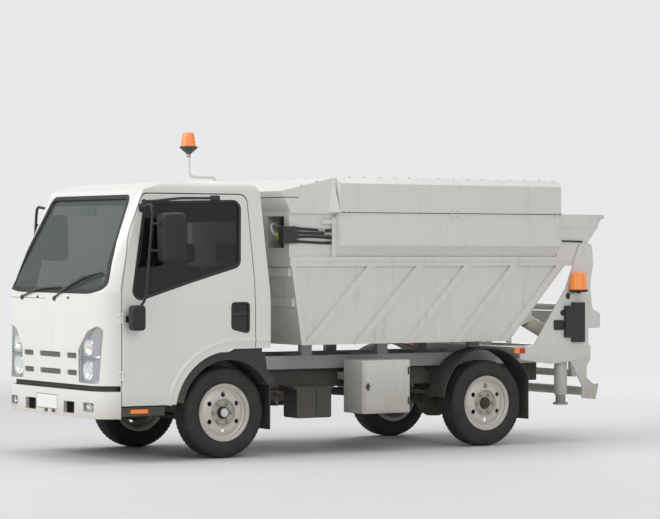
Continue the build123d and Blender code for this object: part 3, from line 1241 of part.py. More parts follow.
def write_all():
    """Builds every node and writes its file."""
    os.makedirs("parts", exist_ok=True)
    save("chassis_frame", chassis_frame())
    save("subframe", subframe())
    save("front_axle", front_axle())
    save("rear_axle", rear_axle())
    save("engine_block", engine_block())
    save("exhaust", exhaust())
    save("fuel_tank", fuel_tank())
    save("battery_box", battery_box())
    save("side_cabinet", side_cabinet())
    save("mudguards", mudguards())
    save("tie_rod", tie_rod())
    for name, x, side in (
        ("front_left", 0, 1), ("front_right", 0, -1), ("rear_left", REAR_X, 1), ("rear_right", REAR_X, -1),
    ):
        turn = Rot(0, 0, 0) if side > 0 else Rot(0, 0, 180)
        place = Pos(x, side * WHEEL_Y, TYRE_RADIUS) * turn
        save("rim_" + name, [place * rim(x == 0)])
        save("tyre_" + name, [place * tyre()])
    shell = cab_shell()
    front_panel, back_panel, roof = cab_panels(shell)
    save("cab_floor", cab_floor())
    save("cab_front_panel", [front_panel])
    save("cab_back_panel", [back_panel])
    save("cab_roof", [roof + beacon_pole()])
    sheet = glass_sheet()
    screen = sheet & front_prism(WINDSCREEN, (550, 1300))
    rear_pane = sheet & front_prism(REAR_WINDOW, (-600, -200))
    door_pane = sheet & side_prism(DOOR_WINDOW, (0, 1000))
    save("cab_glass", [screen, rear_pane])
    for name, side in (("left", 1), ("right", -1)):
        save("knuckle_" + name, [knuckle(side)])
        save("door_" + name, [door(side, shell)])
        save("door_glass_" + name, [on_side(door_pane, side)])
        save("mirror_" + name, [mirror_set(side)])
    save("front_bumper", bumper())
    save("cab_trim", cab_trim())
    save("headlamps", headlamps())
    save("dashboard", dashboard())
    save("seats", seats())
    save("roof_beacon", roof_beacon())
    save("tub_sides", both(tub_side()))
    save("tub_trough", tub_trough())
    save("body_rails", body_rails())
    save("front_hood", front_hood())
    save("cover", cover())
    save("hopper", hopper())
    save("hydraulic_hoses", hydraulic_hoses())
    save("packer_blade", packer_blade())
    save("rear_frame", rear_frame())
    save("stabiliser_legs", stabiliser_legs())
    save("tail_lamps", tail_lamps())
    save("rear_beacons", rear_beacons())
    save("lifter_housings", lifter_housings())
    save("lifter", lifter())
    names = ("cylinder_barrels", "cylinder_stages_outer", "cylinder_stages_inner", "cylinder_rods")
    for name, pieces in zip(names, cylinder_pieces()):
        save(name, pieces)


write_all()
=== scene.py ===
import math

import bmesh
import bpy
import numpy as np
from mathutils import Matrix, Vector


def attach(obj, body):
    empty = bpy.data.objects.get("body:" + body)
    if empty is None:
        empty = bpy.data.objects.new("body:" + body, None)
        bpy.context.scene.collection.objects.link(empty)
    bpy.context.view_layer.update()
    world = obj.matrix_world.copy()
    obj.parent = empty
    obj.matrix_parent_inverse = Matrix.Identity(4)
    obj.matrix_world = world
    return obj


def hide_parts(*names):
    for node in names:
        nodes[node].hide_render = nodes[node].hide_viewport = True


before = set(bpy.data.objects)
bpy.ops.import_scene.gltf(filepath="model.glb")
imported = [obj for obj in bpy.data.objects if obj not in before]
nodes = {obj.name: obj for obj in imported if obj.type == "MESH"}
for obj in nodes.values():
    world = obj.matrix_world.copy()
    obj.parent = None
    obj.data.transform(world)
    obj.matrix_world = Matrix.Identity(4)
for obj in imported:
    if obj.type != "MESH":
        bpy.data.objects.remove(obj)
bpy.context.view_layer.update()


# The studio that the truck stands in: a pale floor that keeps its shadow, a plain pale
# surround, large soft lamps, and a camera at the photograph's place and angle.

class Value:
    """A shader socket that ordinary arithmetic works on, each step adding its Math node."""

    def __init__(self, tree, socket):
        self.tree = tree
        self.socket = socket

    def maths(self, operation, *others):
        """A Math node of this value and others."""
        return arithmetic(self.tree, operation, self, *others)

    def __add__(self, other):
        return self.maths("ADD", other)

    def __radd__(self, other):
        return arithmetic(self.tree, "ADD", other, self)

    def __sub__(self, other):
        return self.maths("SUBTRACT", other)

    def __rsub__(self, other):
        return arithmetic(self.tree, "SUBTRACT", other, self)

    def __mul__(self, other):
        return self.maths("MULTIPLY", other)

    def __rmul__(self, other):
        return arithmetic(self.tree, "MULTIPLY", other, self)


def arithmetic(tree, operation, *terms):
    """One Math node on Values and plain numbers."""
    made = tree.nodes.new("ShaderNodeMath")
    made.operation = operation
    for place, term in zip(made.inputs, terms):
        feed(tree, place, term)
    return Value(tree, made.outputs[0])


def feed(tree, place, term):
    """Links a Value into a socket, or writes a plain number or colour there."""
    if isinstance(term, Value):
        tree.links.new(term.socket, place)
    else:
        place.default_value = term


class Finish:
    """A material: its tree, its shader, and one method that adds any other node."""

    def __init__(self, name, constants=()):
        self.material = bpy.data.materials.new(name)
        self.material.use_nodes = True
        self.tree = self.material.node_tree
        self.shader = self.tree.nodes["Principled BSDF"]
        for socket, value in dict(constants).items():
            self.shader.inputs[socket].default_value = value

    def node(self, kind, settings=(), inputs=(), out=0):
        """A node of the given kind with its settings and inputs, as the Value of one output."""
        made = self.tree.nodes.new("ShaderNode" + kind)
        for key, value in dict(settings).items():
            setattr(made, key, value)
        for key, value in dict(inputs).items():
            feed(self.tree, made.inputs[key], value)
        return Value(self.tree, made.outputs[out])

    def place(self):
        """The point on the piece, in metres from the truck's origin."""
        return self.node("TexCoord", out="Object")

    def axes(self, point):
        """The three parts of a point."""
        return [self.node("SeparateXYZ", {}, {0: point}, part) for part in range(3)]

    def stretched(self, point, scale):
        """The point with each part scaled, for noise that is longer one way."""
        return self.node("Mapping", {}, {"Vector": point, "Scale": scale})

    def noise(self, point, scale, detail=3.0, rough=0.5):
        """Smooth noise of a point, its patches about 1 / scale metres wide."""
        inputs = {"Vector": point, "Scale": scale, "Detail": detail, "Roughness": rough}
        return self.node("TexNoise", {}, inputs)

    def bands(self, point, direction, scale):
        """Even waves along one direction."""
        return self.node("TexWave", {"wave_type": "BANDS", "bands_direction": direction},
                         {"Vector": point, "Scale": scale})

    def rise(self, value, low, high):
        """A smooth step from 0 at low to 1 at high."""
        return self.node("MapRange", {"interpolation_type": "SMOOTHSTEP"},
                         {"Value": value, "From Min": low, "From Max": high})

    def blend(self, share, first, second):
        """A colour between two others."""
        return self.node("Mix", {"data_type": "RGBA"}, {0: share, 6: first, 7: second}, 2)

    def give(self, socket, term):
        """Feeds one socket of the shader."""
        feed(self.tree, self.shader.inputs[socket], term)

    def given(self, socket):
        """What feeds a socket of the shader so far."""
        return Value(self.tree, self.shader.inputs[socket].links[0].from_socket)

    def bump(self, height, strength, distance):
        """Tilts the surface, for the light alone, as if it rose by height times distance."""
        inputs = {"Height": height, "Strength": strength, "Distance": distance}
        self.give("Normal", self.node("Bump", {}, inputs))


def dress(finish, *names):
    """Gives CAD nodes their finish."""
    for name in names:
        for place in nodes[name].material_slots:
            place.material = finish.material


scene = bpy.context.scene
scene.view_settings.view_transform = "Standard"

PALE = (0.80, 0.81, 0.82, 1)
FLOOR_HALF = 60


def seen(tree):
    """1 for what the camera, a reflection or a pane shows, and 0 for light that falls on the truck."""
    rays = tree.nodes.new("ShaderNodeLightPath")
    direct, mirrored, through = (Value(tree, rays.outputs[name])
                                 for name in ("Is Camera Ray", "Is Glossy Ray", "Is Transmission Ray"))
    return direct.maths("MAXIMUM", mirrored).maths("MAXIMUM", through)


def either(tree, share, first, second, ending):
    """Mixes two shaders by a share and joins them to the ending."""
    mixed = tree.nodes.new("ShaderNodeMixShader")
    feed(tree, mixed.inputs[0], share)
    tree.links.new(first.outputs[0], mixed.inputs[1])
    tree.links.new(second.outputs[0], mixed.inputs[2])
    tree.links.new(mixed.outputs[0], ending)


def light(tree, kind, colour, strength):
    """An Emission or Background node of one colour and strength."""
    made = tree.nodes.new("ShaderNode" + kind)
    made.inputs["Color"].default_value = colour
    made.inputs["Strength"].default_value = strength
    return made


floor_finish = Finish("studio_floor", {"Roughness": 0.85})
point = floor_finish.place()
grain = floor_finish.noise(point, 3.0, 6.0)
grey_tones = (0.66, 0.66, 0.655, 1), (0.70, 0.70, 0.695, 1)
floor_finish.give("Base Color", floor_finish.blend(grain, *grey_tones))
across, along, _ = floor_finish.axes(point)
far = floor_finish.rise((across * across + along * along).maths("SQRT"), 5.0, 13.0)
either(floor_finish.tree, far * seen(floor_finish.tree), floor_finish.shader,
       light(floor_finish.tree, "Emission", PALE, 1.0),
       floor_finish.tree.nodes["Material Output"].inputs["Surface"])
floor_mesh = bpy.data.meshes.new("studio_floor")
floor_corners = [(x * FLOOR_HALF, y * FLOOR_HALF, 0) for x, y in ((-1, -1), (1, -1), (1, 1), (-1, 1))]
floor_mesh.from_pydata(floor_corners, [], [(0, 1, 2, 3)])
floor_mesh.materials.append(floor_finish.material)
floor = bpy.data.objects.new("studio_floor", floor_mesh)
scene.collection.objects.link(floor)

world = bpy.data.worlds.new("studio_surround")
world.use_nodes = True
scene.world = world
sky = world.node_tree
sky.nodes.clear()
either(sky, seen(sky), light(sky, "Background", (0.90, 0.94, 1.0, 1), 0.42),
       light(sky, "Background", PALE, 1.0), sky.nodes.new("ShaderNodeOutputWorld").inputs[0])

for name, place, aim, width, watts, tint in (
    ("front_lamp", (13.0, -1.0, 8.0), (1.6, 0.0, 1.2), 7.0, 1120, (1.0, 0.985, 0.96)),
    ("side_lamp", (3.0, 15.0, 7.0), (0.0, 0.0, 1.0), 9.0, 560, (1.0, 0.97, 0.92)),
    ("top_lamp", (-1.0, 0.0, 9.5), (-1.0, 0.0, 0.0), 8.0, 330, (1.0, 1.0, 1.0)),
    ("rear_lamp", (-11.0, -9.0, 6.0), (0.0, 0.0, 1.0), 6.0, 560, (0.96, 0.98, 1.0)),
):
    lamp_data = bpy.data.lights.new(name, "AREA")
    lamp_data.size = width
    lamp_data.energy = watts
    lamp_data.color = tint
    lamp = bpy.data.objects.new(name, lamp_data)
    lamp.location = place
    lamp.rotation_euler = (Vector(aim) - Vector(place)).to_track_quat("-Z", "Y").to_euler()
    scene.collection.objects.link(lamp)

camera_data = bpy.data.cameras.new("photo_camera")
camera_data.sensor_width = 36.0
camera_data.lens = 146.5
camera_data.clip_end = 300.0
camera = bpy.data.objects.new("photo_camera", camera_data)
camera.location = (11.746, 18.617, 1.619)
yaw, pitch, roll = math.radians(32.61), math.radians(-0.241), math.radians(0.099)
ahead = Vector((-math.sin(yaw) * math.cos(pitch), -math.cos(yaw) * math.cos(pitch), math.sin(pitch)))
level = ahead.to_track_quat("-Z", "Y").to_matrix()
camera.rotation_euler = (level @ Matrix.Rotation(roll, 3, "Z")).to_euler()
scene.collection.objects.link(camera)
scene.camera = camera


# The ladder frame, the tub's subframe, both axles with their leaf springs and the steering parts:
# welded and forged steel, sprayed near-black or light grey, and filmed with dry road dust.

def painted(name, colour, dust, dust_top, roughness, streaks=0.0, coat=0.0):
    """Sprayed steel. The colour is mottled a little, dust is thick near the ground and thins out
    up to dust_top, and dirty rain marks run straight down with the given strength."""
    finish = Finish(name, {"Coat Weight": coat, "Coat Roughness": 0.12})
    point = finish.place()
    height = finish.axes(point)[2]
    cloud = finish.noise(point, 2.3, 5.0, 0.6)
    fine = finish.noise(point, 34.0, 4.0, 0.65)
    rain = finish.noise(finish.stretched(point, (9.0, 9.0, 0.55)), 2.2, 4.0, 0.6)
    runs = finish.rise(rain, 0.52, 0.78) * streaks
    low_down = finish.rise(height, dust_top, 0.25)
    film = (low_down * (cloud * 1.1 + 0.25) + runs) * (0.55 + 0.6 * fine)
    film = film.maths("MINIMUM", 1.0)
    dark = tuple(0.90 * part for part in colour)
    body = finish.blend(cloud, dark + (1,), tuple(colour) + (1,))
    finish.give("Base Color", finish.blend(film, body, tuple(dust) + (1,)))
    finish.give("Roughness", roughness + film * 0.4 + (fine - 0.5) * 0.08)
    skin = finish.noise(point, 420.0, 2.0)
    finish.bump(skin + fine * 0.6, 0.12, 0.0006)
    return finish


ROAD_DUST = (0.30, 0.27, 0.225)
dress(painted("chassis_black", (0.030, 0.030, 0.032), (0.15, 0.135, 0.11), 0.95, 0.5),
      "chassis_frame", "front_axle", "rear_axle", "knuckle_left", "knuckle_right", "tie_rod")
dress(painted("subframe_grey", (0.42, 0.425, 0.42), ROAD_DUST, 0.9, 0.42, 0.25),
      "subframe", "stabiliser_legs")


# The engine and gearbox: one cast block as the frame carries it, dull grey iron with oily dust.

engine_finish = Finish("engine_iron", {"Metallic": 0.25})
point = engine_finish.place()
cast = engine_finish.noise(point, 160.0, 4.0, 0.7)
oil = engine_finish.rise(engine_finish.noise(point, 5.0, 5.0, 0.6), 0.45, 0.65)
engine_finish.give("Base Color", engine_finish.blend(oil, (0.11, 0.11, 0.11, 1), (0.05, 0.043, 0.035, 1)))
engine_finish.give("Roughness", 0.75 - oil * 0.3)
engine_finish.bump(cast, 0.5, 0.0015)
dress(engine_finish, "engine_block")


# The exhaust: a rolled silencer and bent pipes of plain steel, browned by heat and spotted with rust.

exhaust_finish = Finish("exhaust_steel", {"Metallic": 0.7})
point = exhaust_finish.place()
rust = exhaust_finish.rise(exhaust_finish.noise(point, 14.0, 6.0, 0.7), 0.42, 0.62)
heat = exhaust_finish.noise(exhaust_finish.stretched(point, (3.0, 14.0, 14.0)), 1.6, 3.0)
steel = exhaust_finish.blend(heat, (0.34, 0.32, 0.30, 1), (0.22, 0.17, 0.12, 1))
exhaust_finish.give("Base Color", exhaust_finish.blend(rust, steel, (0.16, 0.075, 0.035, 1)))
exhaust_finish.give("Roughness", 0.42 + rust * 0.4)
exhaust_finish.bump(rust, 0.3, 0.0008)
dress(exhaust_finish, "exhaust")


# The tyres: moulded road tyres with three zigzag grooves, cut shoulder blocks and ringed sidewalls.
# Each replaces its plain solid and keeps that solid's section.

def grid_faces(rows, columns, loop_rows=False, loop_columns=False):
    """Quads between neighbouring rows and columns, going round where a direction is closed."""
    r = np.arange(rows if loop_rows else rows - 1)
    c = np.arange(columns if loop_columns else columns - 1)
    r, c = np.meshgrid(r, c, indexing="ij")
    next_r, next_c = (r + 1) % rows, (c + 1) % columns
    here, after = r * columns, next_r * columns
    return np.stack([here + c, after + c, after + next_c, here + next_c], -1).reshape(-1, 4)


def make_piece(name, surfaces, finish, body, crease=32, mend=True):
    """One object from surfaces, each its points and one or more arrays of faces with three or four
    corners a row. Doubles are merged and normals turned outwards before it is placed on its body."""
    points, corners, totals, count = [], [], [], 0
    for xyz, *face_sets in surfaces:
        for faces in face_sets:
            corners.append((faces + count).ravel())
            totals.append(np.full(len(faces), faces.shape[1]))
        points.append(xyz)
        count += len(xyz)
    corners, totals = np.concatenate(corners), np.concatenate(totals)
    mesh = bpy.data.meshes.new(name)
    mesh.vertices.add(count)
    mesh.vertices.foreach_set("co", np.concatenate(points).astype(np.float32).ravel())
    mesh.loops.add(len(corners))
    mesh.loops.foreach_set("vertex_index", corners.astype(np.int32))
    mesh.polygons.add(len(totals))
    starts = np.concatenate([[0], np.cumsum(totals)[:-1]])
    mesh.polygons.foreach_set("loop_start", starts.astype(np.int32))
    mesh.polygons.foreach_set("loop_total", totals.astype(np.int32))
    mesh.update(calc_edges=True)
    if mend:
        made = bmesh.new()
        made.from_mesh(mesh)
        bmesh.ops.remove_doubles(made, verts=made.verts, dist=1e-6)
        bmesh.ops.recalc_face_normals(made, faces=made.faces)
        made.to_mesh(mesh)
        made.free()
    mesh.polygons.foreach_set("use_smooth", np.ones(len(mesh.polygons), bool))
    mesh.set_sharp_from_angle(angle=math.radians(crease))
    mesh.materials.append(finish.material)
    piece = bpy.data.objects.new(name, mesh)
    scene.collection.objects.link(piece)
    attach(piece, body)
    return piece


def smooth_step(value, low, high):
    """0 below low, 1 above high, and an even S between."""
    share = np.clip((value - low) / (high - low), 0.0, 1.0)
    return share * share * (3 - 2 * share)


TYRE_R, TYRE_STEPS, TREAD_BLOCKS = 0.352, 420, 60


def tyre_surface(centre_x, centre_y):
    """A closed section turned round the axle. The section runs up one sidewall, over the crown
    and down the other, then back along the rim. Grooves lower the radius: three that zigzag
    round the tread, and a pair of cuts across the shoulders for each block."""
    wall_r = np.concatenate([np.linspace(0.2265, 0.232, 3), np.linspace(0.240, 0.334, 13)])
    wall_y = 0.0985 - 0.0165 * ((wall_r - 0.287) / 0.058) ** 2
    rings = 0.0012 * (smooth_step(wall_r, 0.243, 0.246) - smooth_step(wall_r, 0.252, 0.255))
    rings = rings + 0.0012 * (smooth_step(wall_r, 0.312, 0.315) - smooth_step(wall_r, 0.322, 0.325))
    wall_y = wall_y + rings
    crown_y = np.linspace(-0.078, 0.078, 53)
    crown_r = TYRE_R - 0.0002 - 0.0035 * (crown_y / 0.078) ** 2
    crown_r = crown_r - 0.004 * smooth_step(np.abs(crown_y), 0.068, 0.079)
    section_y = np.concatenate([-wall_y, crown_y, wall_y[::-1], [0.074, -0.074]])
    section_r = np.concatenate([wall_r, crown_r, wall_r[::-1], [0.2056, 0.2056]])
    turn = np.linspace(0, 2 * math.pi, TYRE_STEPS, endpoint=False)[:, None]
    y = section_y[None, :] + 0 * turn
    r = section_r[None, :] + 0 * turn
    on_crown = smooth_step(r, 0.331, 0.340)
    wave = np.abs((turn * TREAD_BLOCKS / (2 * math.pi)) % 1.0 - 0.5) * 2 - 0.5
    groove = 0 * y
    for middle, sway in ((-0.036, 0.004), (0.0, 0.006), (0.036, 0.004)):
        groove = np.maximum(groove, 1 - smooth_step(np.abs(y - middle - sway * wave), 0.0025, 0.0048))
    cut = (turn * TREAD_BLOCKS / (2 * math.pi) + 0.25) % 1.0
    shoulder = (1 - smooth_step(np.abs(cut - 0.5), 0.07, 0.17)) * smooth_step(np.abs(y), 0.046, 0.051)
    r = r - 0.0075 * on_crown * np.maximum(groove, 0.85 * shoulder)
    points = np.stack([centre_x + r * np.cos(turn), centre_y + y, TYRE_R + r * np.sin(turn)], -1)
    return points.reshape(-1, 3), grid_faces(TYRE_STEPS, len(section_y), True, True)


tyre_finish = Finish("tyre_rubber", {"Specular IOR Level": 0.35})
point = tyre_finish.place()
worn = tyre_finish.noise(point, 9.0, 5.0, 0.65)
speck = tyre_finish.noise(point, 130.0, 3.0, 0.6)
dusty = tyre_finish.rise(worn * 0.7 + speck * 0.3, 0.38, 0.72)
rubber_tones = (0.020, 0.020, 0.020, 1), (0.062, 0.056, 0.047, 1)
tyre_finish.give("Base Color", tyre_finish.blend(dusty, *rubber_tones))
tyre_finish.give("Roughness", 0.62 + dusty * 0.3)
tyre_finish.bump(speck, 0.25, 0.0008)

FRONT_X, REAR_X, WHEEL_Y = 1.289, -1.201, 0.68
WHEELS = (("front_left", FRONT_X, 1), ("front_right", FRONT_X, -1),
          ("rear_left", REAR_X, 1), ("rear_right", REAR_X, -1))
for name, x, side in WHEELS:
    tyre = make_piece("road_tyre_" + name, [tyre_surface(x, side * WHEEL_Y)], tyre_finish, "wheel_" + name,
                      40, mend=False)
    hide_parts("tyre_" + name)


# The wheels: pressed steel discs in cream-silver paint, with six plated nuts, a valve, a dark hub bore
# and, at the front, a bright bearing cap in it. Brake dust lies in the dish.

def wheel_finish(name, x, front):
    """Wheel paint round the axle at x: plain outside, dark in the hub bore, dusty in the dish."""
    finish = Finish(name)
    point = finish.place()
    across, _, height = finish.axes(point)
    run, rise = across - x, height - TYRE_R
    from_axle = (run * run + rise * rise).maths("SQRT")
    cloud = finish.noise(point, 11.0, 5.0, 0.65)
    fine = finish.noise(point, 120.0, 3.0)
    dish = finish.rise(from_axle, 0.125, 0.095) * 0.5 + finish.rise(from_axle, 0.19, 0.215) * 0.35
    film = dish * (0.35 + cloud) + finish.rise(cloud, 0.55, 0.8) * 0.35
    film = film.maths("MINIMUM", 1.0)
    colour = finish.blend(film, (0.60, 0.575, 0.525, 1), (0.27, 0.22, 0.165, 1))
    bore = 1.0 - finish.rise(from_axle, 0.0475, 0.0505)
    cap = (1.0 - finish.rise(from_axle, 0.0325, 0.034)) * (1.0 if front else 0.0)
    colour = finish.blend(bore, colour, (0.030, 0.024, 0.018, 1))
    colour = finish.blend(cap, colour, (0.62, 0.63, 0.65, 1))
    finish.give("Base Color", colour)
    finish.give("Metallic", 0.15 + cap * 0.8 - bore * 0.15)
    finish.give("Roughness", 0.42 + film * 0.3 - cap * 0.2)
    finish.bump(fine + cloud * 0.5, 0.15, 0.0006)
    return finish


def turned(profile, start, axis, steps):
    """Rows of (radius, distance along the axis) turned into a round piece, with pointed or flat ends."""
    profile = np.array(profile, float)
    axis = np.array(axis, float) / np.linalg.norm(axis)
    other = np.array([0.0, 0.0, 1.0]) if abs(axis[2]) < 0.9 else np.array([1.0, 0.0, 0.0])
    first = np.cross(axis, other)
    first = first / np.linalg.norm(first)
    second = np.cross(axis, first)
    turn = np.linspace(0, 2 * math.pi, steps, endpoint=False)
    spoke = np.cos(turn)[:, None] * first + np.sin(turn)[:, None] * second
    out, along = profile[:, 0][:, None, None], profile[:, 1][:, None, None]
    points = np.array(start, float) + along * axis + out * spoke[None]
    return points.reshape(-1, 3), grid_faces(len(profile), steps, False, True)


def copies(surface, places):
    """The same surface set down at each place, as one surface."""
    points, faces = surface
    places = np.array(places, float).reshape(-1, 3)
    moved = (points[None] + places[:, None]).reshape(-1, 3)
    shifts = np.arange(len(places)) * len(points)
    return moved, (faces[None] + shifts[:, None, None]).reshape(-1, faces.shape[1])


def six_round(x, y, z, radius, start):
    """Six places on a circle about an axle along Y."""
    turn = np.radians(start + 60.0 * np.arange(6))
    return np.stack([x + radius * np.sin(turn), np.full(6, y), z + radius * np.cos(turn)], -1)


def mottled(name, constants, noise, colours, gloss, pores=None):
    """A finish whose colour goes between two with one noise, as its roughness goes from the first
    value of gloss by the second. Pores give the bump: a noise's scale and detail, then the bump's
    strength and distance."""
    finish = Finish(name, constants)
    point = finish.place()
    cloud = finish.noise(point, *noise)
    finish.give("Base Color", finish.blend(cloud, *[(*colour, 1) for colour in colours]))
    finish.give("Roughness", gloss[0] + cloud * gloss[1])
    if pores:
        finish.bump(finish.noise(point, *pores[:2]), *pores[2:])
    return finish


plated = mottled("plated_steel", {"Metallic": 0.9}, (60.0, 4.0, 0.6),
                 ((0.55, 0.54, 0.52), (0.30, 0.25, 0.20)), (0.28, 0.3))
NUT = [(0, 0), (0.0165, 0), (0.0165, 0.014), (0.0125, 0.0175), (0, 0.0175)]
NUT_SEAT = [(0, 0), (0.0205, 0), (0.019, 0.004), (0, 0.004)]
STUD_END = [(0, 0.016), (0.0085, 0.016), (0.0085, 0.026), (0.007, 0.028), (0, 0.028)]
VALVE = [(0, 0), (0.007, 0), (0.006, 0.018), (0.0035, 0.02), (0.0035, 0.036), (0.0045, 0.036),
         (0.0045, 0.046), (0, 0.046)]
for name, x, side in WHEELS:
    dress(wheel_finish("wheel_paint_" + name, x, x > 0), "rim_" + name)
    places = six_round(x, side * (WHEEL_Y + 0.0565), TYRE_R, 0.079, 30)
    parts = [copies(turned(profile, (0, 0, 0), (0, side, 0), steps), places)
             for profile, steps in ((NUT, 6), (NUT_SEAT, 20), (STUD_END, 12))]
    valve_place = (x, side * (WHEEL_Y + 0.040), TYRE_R + 0.172)
    parts.append(turned(VALVE, valve_place, (0, side, -0.45), 12))
    make_piece("wheel_nuts_" + name, parts, plated, "wheel_" + name, 25)


# The cab: pressed panels, roof, floor and bumper in sprayed off-white, one panel beside the next with
# dark shut lines, weathered lightly at the sills. The skin's half width stands upright to SIDE_WAIST and
# leans in above it, the front leans back above FRONT_WAIST, and the corners are rounded.

CAB_HALF_WIDTH, SIDE_LEAN, SIDE_WAIST = 0.8475, 0.1045, 1.19
FRONT_LEAN, FRONT_WAIST = 350 / 767, 1.285
CORNER_X, CORNER_Y, CORNER_R = 0.882, 0.6175, 0.23


def cab_paint_finish():
    """Sprayed off-white outside. More than 28 mm inside the skin it turns to dark felt lining, and
    the edge inside the windscreen's outline is black. The front lid has a dark upper edge, and a
    blank white plate lies in the bumper, with a painted shadow round its edge as a dark rim."""
    finish = painted("cab_white", (0.80, 0.79, 0.755), (0.40, 0.365, 0.30), 0.55, 0.3, 0.08)
    finish.give("Specular IOR Level", 0.3)
    across, along, height = finish.axes(finish.place())
    x, side = across - FRONT_X, along.maths("ABSOLUTE")
    skin_y = CAB_HALF_WIDTH - SIDE_LEAN * (height - SIDE_WAIST).maths("MAXIMUM", 0.0)
    skin_front = (1.087 - FRONT_LEAN * (height - FRONT_WAIST)).maths("MINIMUM", 1.111)
    skin_rear = -0.367 + 0.061 * (height - 1.3).maths("MAXIMUM", 0.0)
    skin_top = 2.14 - 0.14 * (x - 0.05) * (x - 0.05)
    inside = finish.rise(skin_y - side, 0.026, 0.030) * finish.rise(skin_front - x, 0.026, 0.030)
    inside = inside * finish.rise(x - skin_rear, 0.026, 0.030) * finish.rise(skin_top - height, 0.026, 0.030)
    reach = x - CORNER_X + FRONT_LEAN * (height - FRONT_WAIST).maths("MAXIMUM", 0.0)
    reach = reach.maths("MAXIMUM", 0.0)
    wide = (side - CORNER_Y).maths("MAXIMUM", 0.0)
    inside = inside * finish.rise((reach * reach + wide * wide).maths("SQRT"), 0.204, 0.200)
    lid = finish.rise((height - 1.2275).maths("ABSOLUTE"), 0.0026, 0.0016) * finish.rise(along, -0.10, -0.12)
    lid = lid * finish.rise(x, 1.05, 1.06)
    colour = finish.blend(lid, finish.given("Base Color"), (0.05, 0.05, 0.05, 1))
    past_side = (along + 0.05).maths("ABSOLUTE") - 0.175
    past_edge = past_side.maths("MAXIMUM", (height - 0.436).maths("ABSOLUTE") - 0.054)
    on_face = finish.rise(x, 1.104, 1.108)
    plate = finish.rise(past_edge, 0.0005, -0.0005) * on_face
    # The dark rim round the plate is a painted shadow at the plate's edge.
    rim = finish.rise(past_edge.maths("ABSOLUTE"), 0.0032, 0.0020) * on_face
    colour = finish.blend(plate, colour, (0.82, 0.82, 0.81, 1))
    colour = finish.blend(rim, colour, (0.12, 0.12, 0.12, 1))
    from_pillar = 0.767 - 0.2055 * (height - 1.312) - side
    opening = finish.rise(from_pillar, 0.0, 0.004) * finish.rise(height, 1.318, 1.322)
    opening = opening * finish.rise(height, 2.002, 1.998) * finish.rise(x, 0.45, 0.50)
    colour = finish.blend(opening, colour, (0.030, 0.030, 0.030, 1))
    finish.give("Base Color", finish.blend(inside, colour, (0.045, 0.046, 0.050, 1)))
    finish.give("Roughness", finish.given("Roughness") * (1.0 - inside) + 0.9 * inside)
    finish.give("Coat Weight", 0.3 * (1.0 - inside))
    finish.bump(inside * finish.noise(finish.place(), 500.0, 2.0), 0.15, 0.002)
    return finish


cab_paint = cab_paint_finish()
dress(cab_paint, "cab_front_panel", "cab_roof", "cab_back_panel", "door_left", "door_right", "front_bumper")
dress(painted("cab_floor_mat", (0.060, 0.060, 0.062), (0.13, 0.12, 0.10), 0.95, 0.8, 0.1), "cab_floor")


def cab_front(y, z):
    """The x of the cab's front skin: the lesser of its side outline and its rounded plan, which
    both lean back above the waist."""
    side = np.interp(z, [0.3, 0.86, 1.285, 2.052, 2.122], [1.095, 1.111, 1.087, 0.738, 0.50])
    corner = np.sqrt(np.maximum(CORNER_R ** 2 - np.maximum(np.abs(y) - CORNER_Y, 0.0) ** 2, 0.0))
    plan = CORNER_X + corner - FRONT_LEAN * np.maximum(z - FRONT_WAIST, 0.0)
    return FRONT_X + np.minimum(side, plan)


def cab_side(x, z):
    """The y of the cab's left skin: upright to the waist, leaning in above it, and turning in at
    the front corner."""
    front_view = CAB_HALF_WIDTH - SIDE_LEAN * np.maximum(z - SIDE_WAIST, 0.0)
    lean_back = FRONT_LEAN * np.maximum(z - FRONT_WAIST, 0.0)
    reach = np.maximum(x - FRONT_X - CORNER_X + lean_back, 0.0)
    plan = CORNER_Y + np.sqrt(np.maximum(CORNER_R ** 2 - reach ** 2, 0.0))
    return np.minimum(front_view, plan)


def rounded_loop(corners, count):
    """A closed loop through (across, up, radius) corners: an arc at each, then evenly spaced."""
    corners = np.array(corners, float)
    flat, radii = corners[:, :2], corners[:, 2]
    before, after = np.roll(flat, 1, 0) - flat, np.roll(flat, -1, 0) - flat
    before = before / np.linalg.norm(before, axis=1)[:, None]
    after = after / np.linalg.norm(after, axis=1)[:, None]
    half = np.arccos(np.clip((before * after).sum(1), -1, 1)) / 2
    reach = radii / np.tan(half)
    middle = before + after
    middle = middle / np.linalg.norm(middle, axis=1)[:, None]
    centre = flat + middle * (radii / np.sin(half))[:, None]
    start, end = flat + before * reach[:, None], flat + after * reach[:, None]
    share = np.linspace(0, 1, 9)[None, :, None]
    arc = (start[:, None] * (1 - share) + end[:, None] * share) - centre[:, None]
    spoke = arc / np.maximum(np.linalg.norm(arc, axis=2), 1e-9)[:, :, None]
    arc = centre[:, None] + spoke * np.maximum(radii, 1e-6)[:, None, None]
    line = arc.reshape(-1, 2)
    line = np.vstack([line, line[:1]])
    run = np.concatenate([[0], np.cumsum(np.linalg.norm(np.diff(line, axis=0), axis=1))])
    even = np.linspace(0, run[-1], count, endpoint=False)
    return np.stack([np.interp(even, run, line[:, 0]), np.interp(even, run, line[:, 1])], -1)


